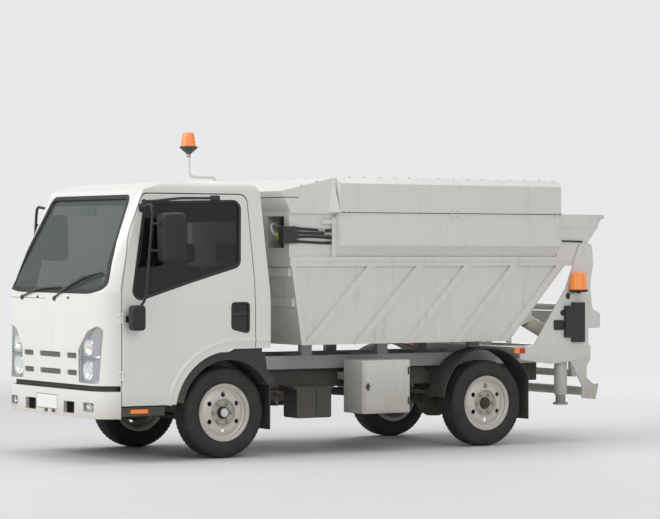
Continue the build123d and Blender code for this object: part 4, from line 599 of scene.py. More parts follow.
def carried(section, path, up, closed=False):
    """A closed section carried along a path. At each point the section lies across the path's
    direction, with its second value along up, and open ends are closed by a fan."""
    path = np.array(path, float)
    section = np.array(section, float)
    if closed:
        ahead = np.roll(path, -1, 0) - np.roll(path, 1, 0)
    else:
        ahead = np.gradient(path, axis=0)
    ahead = ahead / np.linalg.norm(ahead, axis=1)[:, None]
    across = np.cross(ahead, np.broadcast_to(np.array(up, float), path.shape))
    across = across / np.linalg.norm(across, axis=1)[:, None]
    rise = np.cross(across, ahead)
    wide, high = section[None, :, 0, None], section[None, :, 1, None]
    points = path[:, None] + wide * across[:, None] + high * rise[:, None]
    points = points.reshape(-1, 3)
    count = len(section)
    faces = grid_faces(len(path), count, closed, True)
    if closed:
        return points, faces
    ends = np.arange(count)
    next_end = (ends + 1) % count
    last = (len(path) - 1) * count
    first_fan = np.stack([np.full(count, len(points)), next_end, ends], -1)
    last_fan = np.stack([np.full(count, len(points) + 1), last + ends, last + next_end], -1)
    return np.vstack([points, path[:1], path[-1:]]), faces, np.vstack([first_fan, last_fan])


def oval(width, height, steps, square=2.0):
    """A closed section: a circle stretched to width and height, squarer as square rises."""
    turn = np.linspace(0, 2 * math.pi, steps, endpoint=False)
    c, s = np.cos(turn), np.sin(turn)
    across = width / 2 * np.sign(c) * np.abs(c) ** (2 / square)
    up = height / 2 * np.sign(s) * np.abs(s) ** (2 / square)
    return np.stack([across, up], -1)


# The pressed lip round each front wheel arch: a soft bead in the door, 60 mm outside the arch, that runs
# level to the rear, and its short end on the panel behind the door.

LIP_COLUMNS, LIP_HALF_WIDTH = 13, 0.022
turn = np.radians(np.linspace(8, 96, 70))
arch_x = np.concatenate([0.535 * np.cos(turn), np.linspace(-0.075, -0.226, 14)])
arch_z = np.concatenate([0.352 + 0.535 * np.sin(turn), np.full(14, 0.352 + 0.535 * math.sin(turn[-1]))])
arch_z = arch_z + 0.022 * smooth_step(0.20 - arch_x, 0.0, 0.30)
rear_x = np.linspace(-0.236, -0.362, 14)
rear_z = np.full(14, arch_z[-1])
for side, name in ((1, "left"), (-1, "right")):
    for piece_name, body, x, z in (("arch_lip_door_" + name, "door_" + name + "_body", arch_x, arch_z),
                                   ("arch_lip_rear_" + name, "cab", rear_x, rear_z)):
        full_at = 0.30 if body != "cab" else -0.05
        swell = 0.0035 + 0.0055 * smooth_step(np.arange(len(x)) / len(x), -0.1, full_at)
        ahead = np.gradient(np.stack([x, z], -1), axis=0)
        ahead = ahead / np.linalg.norm(ahead, axis=1)[:, None]
        spread = np.linspace(-1, 1, LIP_COLUMNS)
        hump = (1 - spread ** 2) ** 1.5
        over = np.concatenate([spread, spread[::-1]])
        out = np.concatenate([hump, np.full(LIP_COLUMNS, -0.5)])
        px = x[:, None] - ahead[:, 1:] * over * LIP_HALF_WIDTH
        pz = z[:, None] + ahead[:, :1] * over * LIP_HALF_WIDTH
        py = cab_side(px + FRONT_X, pz) + out * swell[:, None] - 0.0004
        rows = np.stack([px + FRONT_X, side * py, pz], -1).reshape(-1, 3)
        ring, low = 2 * LIP_COLUMNS, np.arange(LIP_COLUMNS - 1)
        cap = np.stack([low, low + 1, ring - 2 - low, ring - 1 - low], -1)
        lip = (rows, grid_faces(len(x), ring, False, True), cap, cap + ring * (len(x) - 1))
        make_piece(piece_name, [lip], cab_paint, body, 60)


# The window seals: black rubber gaskets round the windscreen, the rear window and both door windows.
# Each follows the rounded edge of its opening and the curve of the skin.

black_rubber = mottled("black_rubber", {"Specular IOR Level": 0.4}, (25.0, 4.0),
                       ((0.012, 0.012, 0.013), (0.035, 0.034, 0.032)), (0.48, 0.25),
                       (300.0, 2.0, 0.15, 0.0004))


def skin_normals(y, z):
    """The front skin's outward direction round a closed loop: its slopes over 2 mm, evened out
    between neighbours."""
    slope_y = (cab_front(y + 0.002, z) - cab_front(y - 0.002, z)) / 0.004
    slope_z = (cab_front(y, z + 0.002) - cab_front(y, z - 0.002)) / 0.004
    outward = np.stack([np.ones_like(y), -slope_y, -slope_z], -1)
    for _ in range(8):
        outward = (np.roll(outward, 1, 0) + outward + np.roll(outward, -1, 0)) / 3
    return outward / np.linalg.norm(outward, axis=1)[:, None]


WINDSCREEN = [(-0.775, 1.312, 0.06), (-0.6, 1.29, 0.9), (0.6, 1.29, 0.9), (0.775, 1.312, 0.06),
              (0.632, 2.008, 0.06), (-0.632, 2.008, 0.06)]
loop = rounded_loop(WINDSCREEN, 260)
outward = skin_normals(loop[:, 0], loop[:, 1])
path = np.stack([cab_front(loop[:, 0], loop[:, 1]), loop[:, 0], loop[:, 1]], -1) - 0.004 * outward
screen_seal = carried(oval(0.038, 0.015, 12, 3.5), path, outward, True)
REAR_WINDOW = [(-0.43, 1.44, 0.05), (0.43, 1.44, 0.05), (0.43, 1.84, 0.05), (-0.43, 1.84, 0.05)]
loop = rounded_loop(REAR_WINDOW, 140)
rear_line = FRONT_X + np.interp(loop[:, 1], [1.30, 2.105], [-0.367, -0.318])
path = np.stack([rear_line + 0.004, loop[:, 0], loop[:, 1]], -1)
rear_seal = carried(oval(0.030, 0.014, 12, 3.5), path, (-1, 0, 0), True)
make_piece("screen_seals", [screen_seal, rear_seal], black_rubber, "cab")

DOOR_WINDOW = [(0.852, 1.207, 0.06), (0.700, 1.962, 0.055), (-0.138, 1.982, 0.06), (-0.106, 1.482, 0.06),
               (0.330, 1.362, 0.2)]
loop = rounded_loop(DOOR_WINDOW, 220)
for side, name in ((1, "left"), (-1, "right")):
    x = loop[:, 0] + FRONT_X
    path = np.stack([x, side * (cab_side(x, loop[:, 1]) - 0.006), loop[:, 1]], -1)
    seal = carried(oval(0.026, 0.014, 12, 3.5), path, (0, side, 0.1), True)
    make_piece("door_seal_" + name, [seal], black_rubber, "door_" + name + "_body")


# The panes: tempered glass with a faint green tint, thin enough to show the cab's dim inside. Each is a
# glossy film whose dark cover is partly the glass's own tint and partly painted shade over the cab's inside.

def pane_finish(name, tint, cover, shine):
    """Tinted glass as a glossy film that hides the given share of what is behind it under its tint:
    partly the glass's own tint, partly painted shade over the cab's inside.
    """
    finish = Finish(name, {"Roughness": 0.07, "Specular IOR Level": shine})
    point = finish.place()
    haze = finish.noise(point, 3.0, 3.0)
    finish.give("Base Color", finish.blend(haze, tint, tuple(0.8 * part for part in tint[:3]) + (1,)))
    finish.give("Alpha", cover + haze * 0.06)
    finish.material.surface_render_method = "BLENDED"
    return finish


dress(pane_finish("screen_glass", (0.11, 0.14, 0.13, 1), 0.46, 0.25), "cab_glass")
# The door panes' near-black film covers nearly half of the view: painted shade over the cab's inside, on top
# of the glass's tint.
dress(pane_finish("door_glass", (0.012, 0.016, 0.015, 1), 0.47, 0.55),
      "door_glass_left", "door_glass_right")


# The wipers: two arms of black steel from pivots under the windscreen, each with a rubber blade along
# the glass, and two washer nozzles between them.

SCREEN_OUT = (0.91, 0, 0.41)
NEAR_WIPER = ((0.04, 0.20, 0.36, 0.47), (1.231, 1.295, 1.365, 1.400),
              (0.15, 0.34, 0.53, 0.71), (1.268, 1.346, 1.400, 1.430))
FAR_WIPER = ((-0.52, -0.38, -0.26, -0.14), (1.231, 1.262, 1.286, 1.302),
             (-0.43, -0.24, -0.04, 0.13), (1.270, 1.290, 1.306, 1.312))
PIVOT_BOSS = [(0, 0), (0.021, 0), (0.021, 0.009), (0.014, 0.014), (0.012, 0.019), (0, 0.019)]
NOZZLE = [(0, 0), (0.012, 0), (0.011, 0.008), (0.005, 0.014), (0, 0.014)]


def over_screen(y, z, lift):
    """Points a given distance out from the windscreen and the panel under it."""
    y, z = np.array(y, float), np.array(z, float)
    return np.stack([cab_front(y, z) + SCREEN_OUT[0] * lift, y, z + SCREEN_OUT[2] * lift], -1)


def drawn(y, z, lift, count):
    """A smooth line over the screen through a few (y, z, lift) stations."""
    share = np.linspace(0, 1, len(y))
    fine = np.linspace(0, 1, count)
    curve = [np.polyval(np.polyfit(share, row, min(len(row) - 1, 3)), fine) for row in (y, z, lift)]
    return over_screen(*curve)


wiper_parts = []
for arm_y, arm_z, blade_y, blade_z in (NEAR_WIPER, FAR_WIPER):
    for y, z, lift, count, section in (
        (arm_y, arm_z, (0.008, 0.016, 0.018, 0.016), 24, oval(0.016, 0.007, 10, 3)),
        (blade_y, blade_z, (0.012, 0.018, 0.018, 0.012), 28, oval(0.010, 0.009, 10, 3)),
        (blade_y, blade_z, (0.004, 0.004, 0.004, 0.004), 28, oval(0.006, 0.016, 8, 3)),
    ):
        wiper_parts.append(carried(section, drawn(y, z, lift, count), SCREEN_OUT))
    base = over_screen(arm_y[:1], arm_z[:1], -0.004)[0]
    wiper_parts.append(turned(PIVOT_BOSS, base, (0.95, 0, 0.2), 20))
for y in (-0.25, 0.27):
    wiper_parts.append(turned(NOZZLE, over_screen([y], [1.238], -0.003)[0], (0.95, 0, 0.2), 14))
wiper_finish = mottled("wiper_black", {"Specular IOR Level": 0.5}, (40.0, 4.0),
                       ((0.020, 0.020, 0.022), (0.06, 0.06, 0.06)), (0.4, 0.2))
make_piece("wipers", wiper_parts, wiper_finish, "cab")


# Moulded black plastic: the grille's backing, the mudguards, the steps, the boxes on the frame, and
# small covers. Pored, chalky with age, and dusty near the road.

black_plastic = Finish("black_plastic", {"Specular IOR Level": 0.45})
point = black_plastic.place()
pores = black_plastic.noise(point, 260.0, 2.0)
chalk = black_plastic.noise(point, 7.0, 5.0, 0.6)
height = black_plastic.axes(point)[2]
dusty = black_plastic.rise(height, 0.9, 0.2) * (chalk * 0.8 + 0.1)
colour = black_plastic.blend(chalk, (0.018, 0.018, 0.019, 1), (0.040, 0.039, 0.038, 1))
black_plastic.give("Base Color", black_plastic.blend(dusty, colour, (0.13, 0.115, 0.095, 1)))
black_plastic.give("Roughness", 0.5 + chalk * 0.2)
black_plastic.bump(pores, 0.3, 0.0006)
dress(black_plastic, "fuel_tank", "battery_box", "mudguards", "cab_trim", "lifter_housings")


# The front arch liners: a black moulding a side, a tunnel over the tyre with an upright flange that fills
# the gap up to the door's arch and the cab's sill. At the rear the flange falls to the tyre's side.

turn = np.radians(np.linspace(12, 150, 90))
run, climb = np.cos(turn), np.sin(turn)
edge = np.minimum(0.492 / climb, 0.425 / np.maximum(-run, 0.05))
edge = 0.469 + (edge - 0.469) * smooth_step(turn, math.radians(90), math.radians(97))
edge = edge + (0.476 - edge) * smooth_step(turn, math.radians(114), math.radians(138))
liners = []
for y, r in ((0.560, 0.408), (0.834, 0.408), (0.834, edge), (0.822, edge), (0.822, 0.414), (0.560, 0.414)):
    liners.append(np.stack([FRONT_X + r * run, np.full(90, y), TYRE_R + r * climb], -1))
liner = np.stack(liners, 1).reshape(-1, 3)
caps = np.array([[0, 1, 4, 5], [1, 2, 3, 4]])
liner_faces = grid_faces(90, 6, False, True), caps, caps + 6 * 89
make_piece("arch_liners", [(liner * (1, side, 1), *liner_faces) for side in (1, -1)],
           black_plastic, "cab", 40)


# The grille: grey upright fins behind the six slots of the front panel, clipped to the black backing.

def boxes(rows):
    """Plain bars and plates, each from its low and high x, y and z, as one surface."""
    rows = np.array(rows, float).reshape(-1, 3, 2)
    pick = np.array([[i & 1, (i >> 1) & 1, (i >> 2) & 1] for i in range(8)])[None, :, :, None]
    points = np.take_along_axis(rows[:, None].repeat(8, 1), pick.repeat(len(rows), 0), 3)[..., 0]
    faces = np.array([[0, 2, 3, 1], [4, 5, 7, 6], [0, 1, 5, 4], [2, 6, 7, 3], [0, 4, 6, 2], [1, 3, 7, 5]])
    faces = (faces[None] + 8 * np.arange(len(rows))[:, None, None]).reshape(-1, 4)
    return points.reshape(-1, 3), faces


def moulded(name, colour, gloss):
    """Grained plastic in one colour, a little chalky, with its pores pressed in."""
    chalky = tuple(1.35 * part for part in colour)
    return mottled(name, {"Specular IOR Level": 0.45}, (9.0, 4.0, 0.6), (colour, chalky), (gloss, 0.18),
                   (260.0, 2.0, 0.25, 0.0005))


grey_plastic = moulded("grille_grey", (0.26, 0.265, 0.27), 0.42)
fins, FIN_PITCH = [], 0.0135
for z_low, z_high in ((0.650, 0.692), (0.780, 0.822)):
    for y_low, y_high in ((-0.175, 0.175), (-0.445, -0.285), (0.285, 0.445)):
        across = np.arange(y_low + 0.007, y_high - 0.003, FIN_PITCH)
        x = cab_front(across, np.full_like(across, z_low))
        span = np.tile([z_low - 0.004, z_high + 0.004], (len(across), 1))
        fins.append(np.stack([np.stack([x - 0.037, x - 0.010], -1),
                              np.stack([across - 0.0019, across + 0.0019], -1), span], 1))
make_piece("grille_fins", [boxes(np.concatenate(fins))], grey_plastic, "cab")


# The fog lamps in the bumper's outer pockets: a grey tray with a silvered round bowl and a clear lens.

def slab(loop, rows, place):
    """A closed plate. The loop is drawn in by each row's inset and set out by its height, both
    ends are closed by a fan about the middle, and place turns (across, up, out) into points."""
    loop = np.array(loop, float)
    ahead = np.roll(loop, -1, 0) - np.roll(loop, 1, 0)
    inward = np.stack([-ahead[:, 1], ahead[:, 0]], -1) / np.linalg.norm(ahead, axis=1)[:, None]
    count, last = len(loop), (len(rows) - 1) * len(loop)
    rings = [np.column_stack([loop + inset * inward, np.full(count, out)]) for inset, out in rows]
    ends = [[*loop.mean(0), rows[0][1]], [*loop.mean(0), rows[-1][1]]]
    points = place(np.vstack(rings + [ends]))
    here = np.arange(count)
    after = (here + 1) % count
    first_fan = np.stack([np.full(count, len(points) - 2), after, here], -1)
    last_fan = np.stack([np.full(count, len(points) - 1), last + here, last + after], -1)
    return points, grid_faces(len(rows), count, False, True), np.vstack([first_fan, last_fan])


def box_loop(across, up, radius, count=48):
    """A rounded rectangle as a loop."""
    corners = ((across[0], up[0]), (across[1], up[0]), (across[1], up[1]), (across[0], up[1]))
    return rounded_loop([(*corner, radius) for corner in corners], count)


def on_bumper(points):
    """Onto the bumper's front, which curves back round the cab's corner."""
    y = points[:, 0]
    wide = np.maximum(np.abs(y) - CORNER_Y, 0.0)
    face = np.minimum(1.112, CORNER_X + np.sqrt(np.maximum(CORNER_R ** 2 - wide ** 2, 0.0)))
    return np.stack([FRONT_X + face + points[:, 2], y, points[:, 1]], -1)


def both_sides(surfaces):
    """The left surfaces and their mirror images."""
    return surfaces + [(points * (1, -1, 1), *faces) for points, *faces in surfaces]


silvered = mottled("silvered_reflector", {"Metallic": 1.0}, (38.0, 2.0),
                   ((0.84, 0.85, 0.86), (0.70, 0.71, 0.72)), (0.10, 0.16), (38.0, 2.0, 0.05, 0.001))

clear_plastic = Finish("clear_lens", {"Roughness": 0.04, "Specular IOR Level": 0.9})
point = clear_plastic.place()
haze = clear_plastic.noise(point, 12.0, 3.0)
lens_tones = (0.86, 0.90, 0.92, 1), (0.75, 0.79, 0.80, 1)
clear_plastic.give("Base Color", clear_plastic.blend(haze, *lens_tones))
clear_plastic.give("Alpha", 0.10 + haze * 0.08)
clear_plastic.bump(clear_plastic.bands(point, "Y", 26.0), 0.06, 0.001)
clear_plastic.material.surface_render_method = "BLENDED"

FOG_TRAY = [(0, -0.034), (0, -0.003), (0.003, -0.002), (0.006, -0.014), (0.012, -0.030)]
FOG_BOWL = [(0, -0.002), (0.020, 0.003), (0.028, 0.012), (0.031, 0.020), (0.0335, 0.020), (0.032, 0.004),
            (0.022, -0.006), (0, -0.008)]
FOG_GLASS = [(0, 0.019), (0.0305, 0.017), (0.0305, 0.0185), (0.016, 0.0225), (0, 0.0235)]
fog_place, fog_axis = (FRONT_X + 1.076, 0.628, 0.420), (math.cos(0.25), math.sin(0.25), 0)
tray = slab(box_loop((0.561, 0.699), (0.386, 0.454), 0.012), FOG_TRAY, on_bumper)
tray_grey = moulded("fog_tray", (0.30, 0.30, 0.30), 0.4)
make_piece("fog_lamp_trays", both_sides([tray]), tray_grey, "cab")
bowl = turned(FOG_BOWL, fog_place, fog_axis, 28)
make_piece("fog_lamps", both_sides([bowl]), silvered, "cab")
cover_glass = turned(FOG_GLASS, fog_place, fog_axis, 28)
make_piece("fog_lamp_glass", both_sides([cover_glass]), clear_plastic, "cab")


# The headlamps: two cells a side under one clear moulding that follows the cab's corner. Behind it are
# silvered bowls, a turn signal's amber bulb in the upper cell, and a grey frame round the edge.

LAMP_EDGE = [(0.470, 0.598, 0.025), (0.740, 0.598, 0.020), (0.768, 1.000, 0.030), (0.735, 1.034, 0.030),
             (0.600, 0.985, 0.040), (0.478, 0.850, 0.040)]
lamp_loop = rounded_loop(LAMP_EDGE, 600)
foot = np.argmin(np.hypot(lamp_loop[:, 0] - 0.605, lamp_loop[:, 1] - 0.598))
lamp_loop = np.roll(lamp_loop, -foot, 0)
crest = np.argmax(lamp_loop[:, 1])
outer_edge, inner_edge = lamp_loop[:crest + 1], np.vstack([lamp_loop[:1], lamp_loop[crest:][::-1]])
CELL_STEPS = 61


def cell_sheet(low, high, depth, gauge):
    """A closed sheet over one cell, gauge thick. Rows run up the cell and columns from its inner
    to its outer edge, and the sheet lies behind the skin by depth(y, z, distance from the edge)."""
    z = np.linspace(low + 0.003, high - 0.003, CELL_STEPS)[:, None] + np.zeros((1, CELL_STEPS))
    left = np.interp(z[:, 0], inner_edge[:, 1], inner_edge[:, 0])[:, None] + 0.003
    right = np.interp(z[:, 0], outer_edge[:, 1], outer_edge[:, 0])[:, None] - 0.003
    y = left + (right - left) * np.linspace(0, 1, CELL_STEPS)[None, :]
    margin = np.minimum(np.minimum(y - left, right - y), np.minimum(z - z.min(), z.max() - z))
    x = cab_front(y, z) - 0.003 - depth(y, z, margin)
    sheets = [np.stack([x, y, z], -1).reshape(-1, 3), np.stack([x - gauge, y, z], -1).reshape(-1, 3)]
    count = CELL_STEPS * CELL_STEPS
    quads, index = grid_faces(CELL_STEPS, CELL_STEPS), np.arange(count).reshape(CELL_STEPS, CELL_STEPS)
    ring = np.concatenate([index[0, :-1], index[:-1, -1], index[-1, :0:-1], index[:0:-1, 0]])
    after = np.roll(ring, -1)
    rim = np.stack([ring, after, after + count, ring + count], -1)
    return np.vstack(sheets), np.vstack([quads, quads[:, ::-1] + count, rim])


def lens_depth(y, z, margin):
    """The clear moulding: flush, and turned in over its last 10 mm."""
    return 0.008 * (1 - smooth_step(margin, 0.0, 0.010))


def bowl_depth(centre_y, centre_z, radius):
    """A flat tray with a round bowl sunk in it, and a raised lip round the bowl."""
    def depth(y, z, margin):
        away = np.hypot(y - centre_y, z - centre_z)
        sunk = 0.030 * np.maximum(1 - (away / radius) ** 2, 0.0)
        lip = 0.009 * np.exp(-((away - radius) / 0.004) ** 2)
        return 0.016 + 0.006 * smooth_step(margin, 0.0, 0.012) + sunk - lip
    return depth


LAMP_BULB = [(0, 0), (0.008, 0), (0.008, 0.014), (0.0065, 0.024), (0.003, 0.029), (0, 0.030)]
BOWLS = ((0.598, 0.783, 0.590, 0.692, 0.074), (0.789, 1.034, 0.600, 0.868, 0.064))
lamp_silver = Finish("headlamp_silver", {"Metallic": 1.0})
point = lamp_silver.place()
_, along, height = lamp_silver.axes(point)
in_bowl = 0.0
for low, high, centre_y, centre_z, radius in BOWLS:
    run, rise = along.maths("ABSOLUTE") - centre_y, height - centre_z
    in_bowl = in_bowl + lamp_silver.rise((run * run + rise * rise).maths("SQRT"), radius + 0.004, radius)
silver_tones = (0.34, 0.35, 0.37, 1), (0.88, 0.89, 0.90, 1)
lamp_silver.give("Base Color", lamp_silver.blend(in_bowl, *silver_tones))
lamp_silver.give("Roughness", 0.30 - 0.22 * in_bowl)
lamp_silver.bump(lamp_silver.noise(point, 40.0, 1.0), 0.04, 0.001)

lenses, reflectors, bulbs, signals = [], [], [], []
for low, high, centre_y, centre_z, radius in BOWLS:
    lenses.append(cell_sheet(low, high, lens_depth, 0.002))
    reflectors.append(cell_sheet(low, high, bowl_depth(centre_y, centre_z, radius), 0.004))
    at = (float(cab_front(centre_y, centre_z)) - 0.048, centre_y, centre_z)
    (signals if high > 1 else bulbs).append(turned(LAMP_BULB, at, (1, 0, 0), 16))
lens = make_piece("headlamp_lenses", both_sides(lenses), clear_plastic, "cab", 40)
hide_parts("headlamps")
make_piece("headlamp_reflectors", both_sides(reflectors), lamp_silver, "cab", 40)
make_piece("headlamp_bulbs", both_sides(bulbs), clear_plastic, "cab")
FRAME_EDGE = [(0.473, 0.601, 0.022), (0.737, 0.601, 0.018), (0.765, 0.999, 0.027), (0.734, 1.031, 0.027),
              (0.600, 0.982, 0.037), (0.481, 0.848, 0.037)]
edge = rounded_loop(FRAME_EDGE, 160)
frame_path = np.stack([cab_front(edge[:, 0], edge[:, 1]) - 0.004, edge[:, 0], edge[:, 1]], -1)
bar_y = np.linspace(0.476, 0.752, 24)
bar_path = np.stack([cab_front(bar_y, np.full(24, 0.786)) - 0.006, bar_y, np.full(24, 0.786)], -1)
lamp_frame = carried(oval(0.012, 0.006, 10, 3), frame_path, (1, 0, 0.02), True)
cell_bar = carried(oval(0.010, 0.006, 10, 3), bar_path, (1, 0, 0.02))
make_piece("headlamp_frames", both_sides([lamp_frame, cell_bar]), grey_plastic, "cab")


# The rear number plate: blank pressed sheet, white, on two screws. The front one lies flush in the
# bumper, whose face is the truck's foremost, so the bumper's paint carries it.

plate_white = painted("plate_white", (0.82, 0.82, 0.81), (0.42, 0.39, 0.33), 0.6, 0.35, 0.0, 0.3)
PLATE_ROWS = [(0, -0.004), (0, 0.0002), (0.0015, 0.0010), (0.005, 0.0010), (0.007, 0.0002), (0.012, 0.0002)]
PLATE_SCREW = [(0, 0), (0.0065, 0), (0.006, 0.0012), (0, 0.0016)]


def facing_rear(side, x, lean=0.0):
    """Onto an upright face at x that looks back. Over a mirror head's height it leans by lean."""
    def place(points):
        face = x + lean * (points[:, 1] - 1.515) / 0.375
        return np.stack([face - points[:, 2], side * points[:, 0], points[:, 1]], -1)
    return place


rear_plate = slab(box_loop((-0.25, 0.25), (0.696, 0.792), 0.008), PLATE_ROWS, facing_rear(1, -2.190))
make_piece("rear_plate", [rear_plate], plate_white, "chassis")
screws = [turned(PLATE_SCREW, (-2.1902, y, 0.744), (-1, 0, 0), 12) for y in (-0.15, 0.15)]
make_piece("plate_screws", screws, plated, "chassis")


# The doors' fittings: a black handle tray with its grip, a rain guard along the window's head with its
# bracket, and the black quarter at the mirror's foot.

def on_side(side):
    """Onto the cab's side skin, its across counted from the front axle."""
    def place(points):
        x = points[:, 0] + FRONT_X
        return np.stack([x, side * (cab_side(x, points[:, 1]) + points[:, 2]), points[:, 1]], -1)
    return place


TRAY_ROWS = [(0.004, -0.0217), (0.004, -0.001), (-0.007, -0.001), (-0.007, 0.0025), (0.002, 0.0035),
             (0.006, 0.001), (0.009, -0.018), (0.016, -0.0205)]
GRIP_ROWS = [(0, -0.0212), (0, -0.006), (0.003, -0.0032), (0.012, -0.0026)]
BRACKET_ROWS = [(0, -0.004), (0, 0.012), (0.004, 0.016), (0.010, 0.016)]
QUARTER_ROWS = [(0, -0.004), (0, 0.004), (0.003, 0.006), (0.008, 0.006)]
HANDLE = [(-0.172, 0.964, 0.025), (-0.020, 1.000, 0.025), (-0.020, 1.197, 0.025), (-0.172, 1.197, 0.025)]
QUARTER = [(0.702, 1.900, 0.008), (0.752, 1.880, 0.010), (0.722, 1.985, 0.010), (0.690, 1.990, 0.010)]
head_x = np.linspace(0.690, 0.060, 50)
head_z = 1.972 + 0.024 * smooth_step(0.69 - head_x, 0.0, 0.35) + 0.006 * (1 - (head_x - 0.06) / 0.63)
head_y = cab_side(head_x + FRONT_X, head_z)
for side, name in ((1, "left"), (-1, "right")):
    guard_path = np.stack([head_x + FRONT_X, side * (head_y + 0.004), head_z], -1)
    parts = [slab(rounded_loop(HANDLE, 72), TRAY_ROWS, on_side(side)),
             slab(box_loop((-0.163, -0.029), (1.096, 1.132), 0.012), GRIP_ROWS, on_side(side)),
             carried(oval(0.010, 0.019, 12, 3.5), guard_path, (0, 0, 1)),
             slab(box_loop((0.045, 0.125), (1.982, 2.022), 0.008), BRACKET_ROWS, on_side(side)),
             slab(rounded_loop(QUARTER, 48), QUARTER_ROWS, on_side(side))]
    make_piece("door_fittings_" + name, parts, black_plastic, "door_" + name + "_body", 40)


# The mirrors' tube arms and grained shells, and the silvered glass that faces the rear.

mirror_shell = mottled("mirror_shell", {"Specular IOR Level": 0.3}, (12.0, 3.0),
                       ((0.016, 0.018, 0.021), (0.026, 0.029, 0.033)), (0.40, 0.12),
                       (320.0, 2.0, 0.25, 0.0005))
dress(mirror_shell, "mirror_left", "mirror_right")
mirror_glass = mottled("mirror_glass", {"Metallic": 1.0}, (18.0, 4.0),
                       ((0.80, 0.83, 0.84), (0.68, 0.71, 0.72)), (0.02, 0.05))
PANE_ROWS = [(0, -0.003), (0, 0.0015), (0.002, 0.0025), (0.006, 0.0025)]
for side, name in ((1, "left"), (-1, "right")):
    panes = [slab(box_loop(across, up, radius), PANE_ROWS, facing_rear(side, FRONT_X + x, lean))
             for across, up, radius, x, lean in (((0.949, 1.000), (1.563, 1.842), 0.014, 0.470, 0.01),
                                                 ((0.922, 0.968), (1.034, 1.156), 0.012, 0.800, 0.0))]
    make_piece("mirror_glass_" + name, panes, mirror_glass, "door_" + name + "_body")


# The inside mirror: a pale moulded back on a short stem from the windscreen's head.

def facing_front(points):
    """Onto the upright plane of the inside mirror, looking ahead."""
    return np.stack([FRONT_X + 0.700 + points[:, 2], points[:, 0], points[:, 1]], -1)


MIRROR_BACK = [(0.006, -0.010), (0, -0.008), (0, 0.004), (0.006, 0.012), (0.016, 0.015)]
inner_mirror = slab(box_loop((-0.285, -0.025), (1.868, 1.934), 0.026), MIRROR_BACK, facing_front)
stem_x, stem_z = np.linspace(0.700, 0.722, 10), np.linspace(1.930, 1.992, 10)
stem_path = np.stack([FRONT_X + stem_x, np.full(10, -0.155), stem_z], -1)
make_piece("inside_mirror", [inner_mirror, carried(oval(0.012, 0.012, 12), stem_path, (0, 1, 0))],
           moulded("pale_green_plastic", (0.36, 0.43, 0.38), 0.35), "cab")


# The dashboard: one moulding of grained dark grey plastic with its column and steering wheel.

dash_finish = Finish("dash_plastic")
point = dash_finish.place()
grain = dash_finish.node("TexVoronoi", {"feature": "F1"}, {"Vector": point, "Scale": 420.0})
cloud = dash_finish.noise(point, 6.0, 3.0)
dash_finish.give("Base Color", dash_finish.blend(cloud, (0.085, 0.088, 0.095, 1), (0.115, 0.118, 0.125, 1)))
dash_finish.give("Roughness", 0.6 + cloud * 0.15)
dash_finish.bump(grain, 0.3, 0.0008)
dress(dash_finish, "dashboard")


# The beacons: ribbed amber domes. The roof's sits in a dark cup clamped on its pole, and each rear one
# on a flat black base.

def lens_finish(name, deep, bright, lamp_and_painted_glow, strength):
    """Coloured lens plastic: its colour goes between deep and bright in soft patches, with fine upright
    ribbing. Its glow is the lamp's light on the lit rear beacons, and a painted glow, as of daylight
    through the plastic, on every other lens.
    """
    finish = Finish(name, {"Coat Weight": 1.0, "Coat Roughness": 0.04, "Roughness": 0.22,
                           "Emission Strength": strength})
    point = finish.place()
    cloud = finish.noise(point, 26.0, 3.0)
    finish.give("Base Color", finish.blend(cloud, deep, bright))
    finish.give("Emission Color", finish.blend(cloud, lamp_and_painted_glow, tuple(0.4 * part for part in lamp_and_painted_glow[:3]) + (1,)))
    finish.bump(finish.bands(point, "Z", 60.0), 0.3, 0.0015)
    return finish


def ribbed(profile, start, count, depth, steps=144):
    """Rows of (radius, height) turned about Z, the radius rising and falling count times round."""
    profile = np.array(profile, float)
    turn = np.linspace(0, 2 * math.pi, steps, endpoint=False)[None, :]
    wave = 1 + depth * np.cos(count * turn) * (profile[:, :1] > 0.02)
    r = profile[:, :1] * wave
    points = np.stack([r * np.cos(turn), r * np.sin(turn), profile[:, 1:] + 0 * turn], -1) + np.array(start)
    return points.reshape(-1, 3), grid_faces(len(profile), steps, False, True)


def stepped_lens(foot, low, crown, high, rings):
    """A lens profile that narrows from (foot, low) to (crown, high), with flat rings up its wall."""
    z = np.linspace(low + 0.006, high - 0.016, rings * 4)
    r = foot + (crown - foot) * (z - low) / (high - 0.008 - low)
    r = r - 0.0012 * (np.arange(rings * 4) % 4 == 0)
    end_r = crown * np.cos(np.radians([20, 45, 70, 90])) * 1.02
    end_z = high - 0.011 + 0.011 * np.sin(np.radians([20, 45, 70, 90]))
    rows = [(0, low), (foot, low), *zip(r, z), *zip(end_r, end_z)]
    return rows[:-1] + [(0, high)]


# The amber lenses glow with a painted glow, as of daylight through the plastic.
amber = lens_finish("lamp_amber", (0.62, 0.13, 0.012, 1), (0.90, 0.27, 0.03, 1), (0.9, 0.2, 0.01, 1), 0.35)
UP = (0, 0, 1)
CUP = [(0, 0.026), (0.018, 0.026), (0.024, 0.034), (0.060, 0.064), (0.067, 0.070), (0.070, 0.078),
       (0.070, 0.083), (0.066, 0.086), (0.060, 0.086), (0, 0.084)]
CLAMP = [(0, 0), (0.0155, 0), (0.017, 0.002), (0.017, 0.010), (0.0155, 0.012), (0.0155, 0.015),
         (0.017, 0.017), (0.017, 0.027), (0, 0.027)]
BASE = [(0, 0), (0.017, 0), (0.017, 0.008), (0.070, 0.012), (0.078, 0.018), (0.080, 0.026), (0.079, 0.031),
        (0.073, 0.033), (0, 0.033)]
beacon_place = (FRONT_X + 0.224, 0.600, 2.316)
dome = ribbed(stepped_lens(0.062, 0.083, 0.046, 0.195, 9), beacon_place, 36, 0.012)
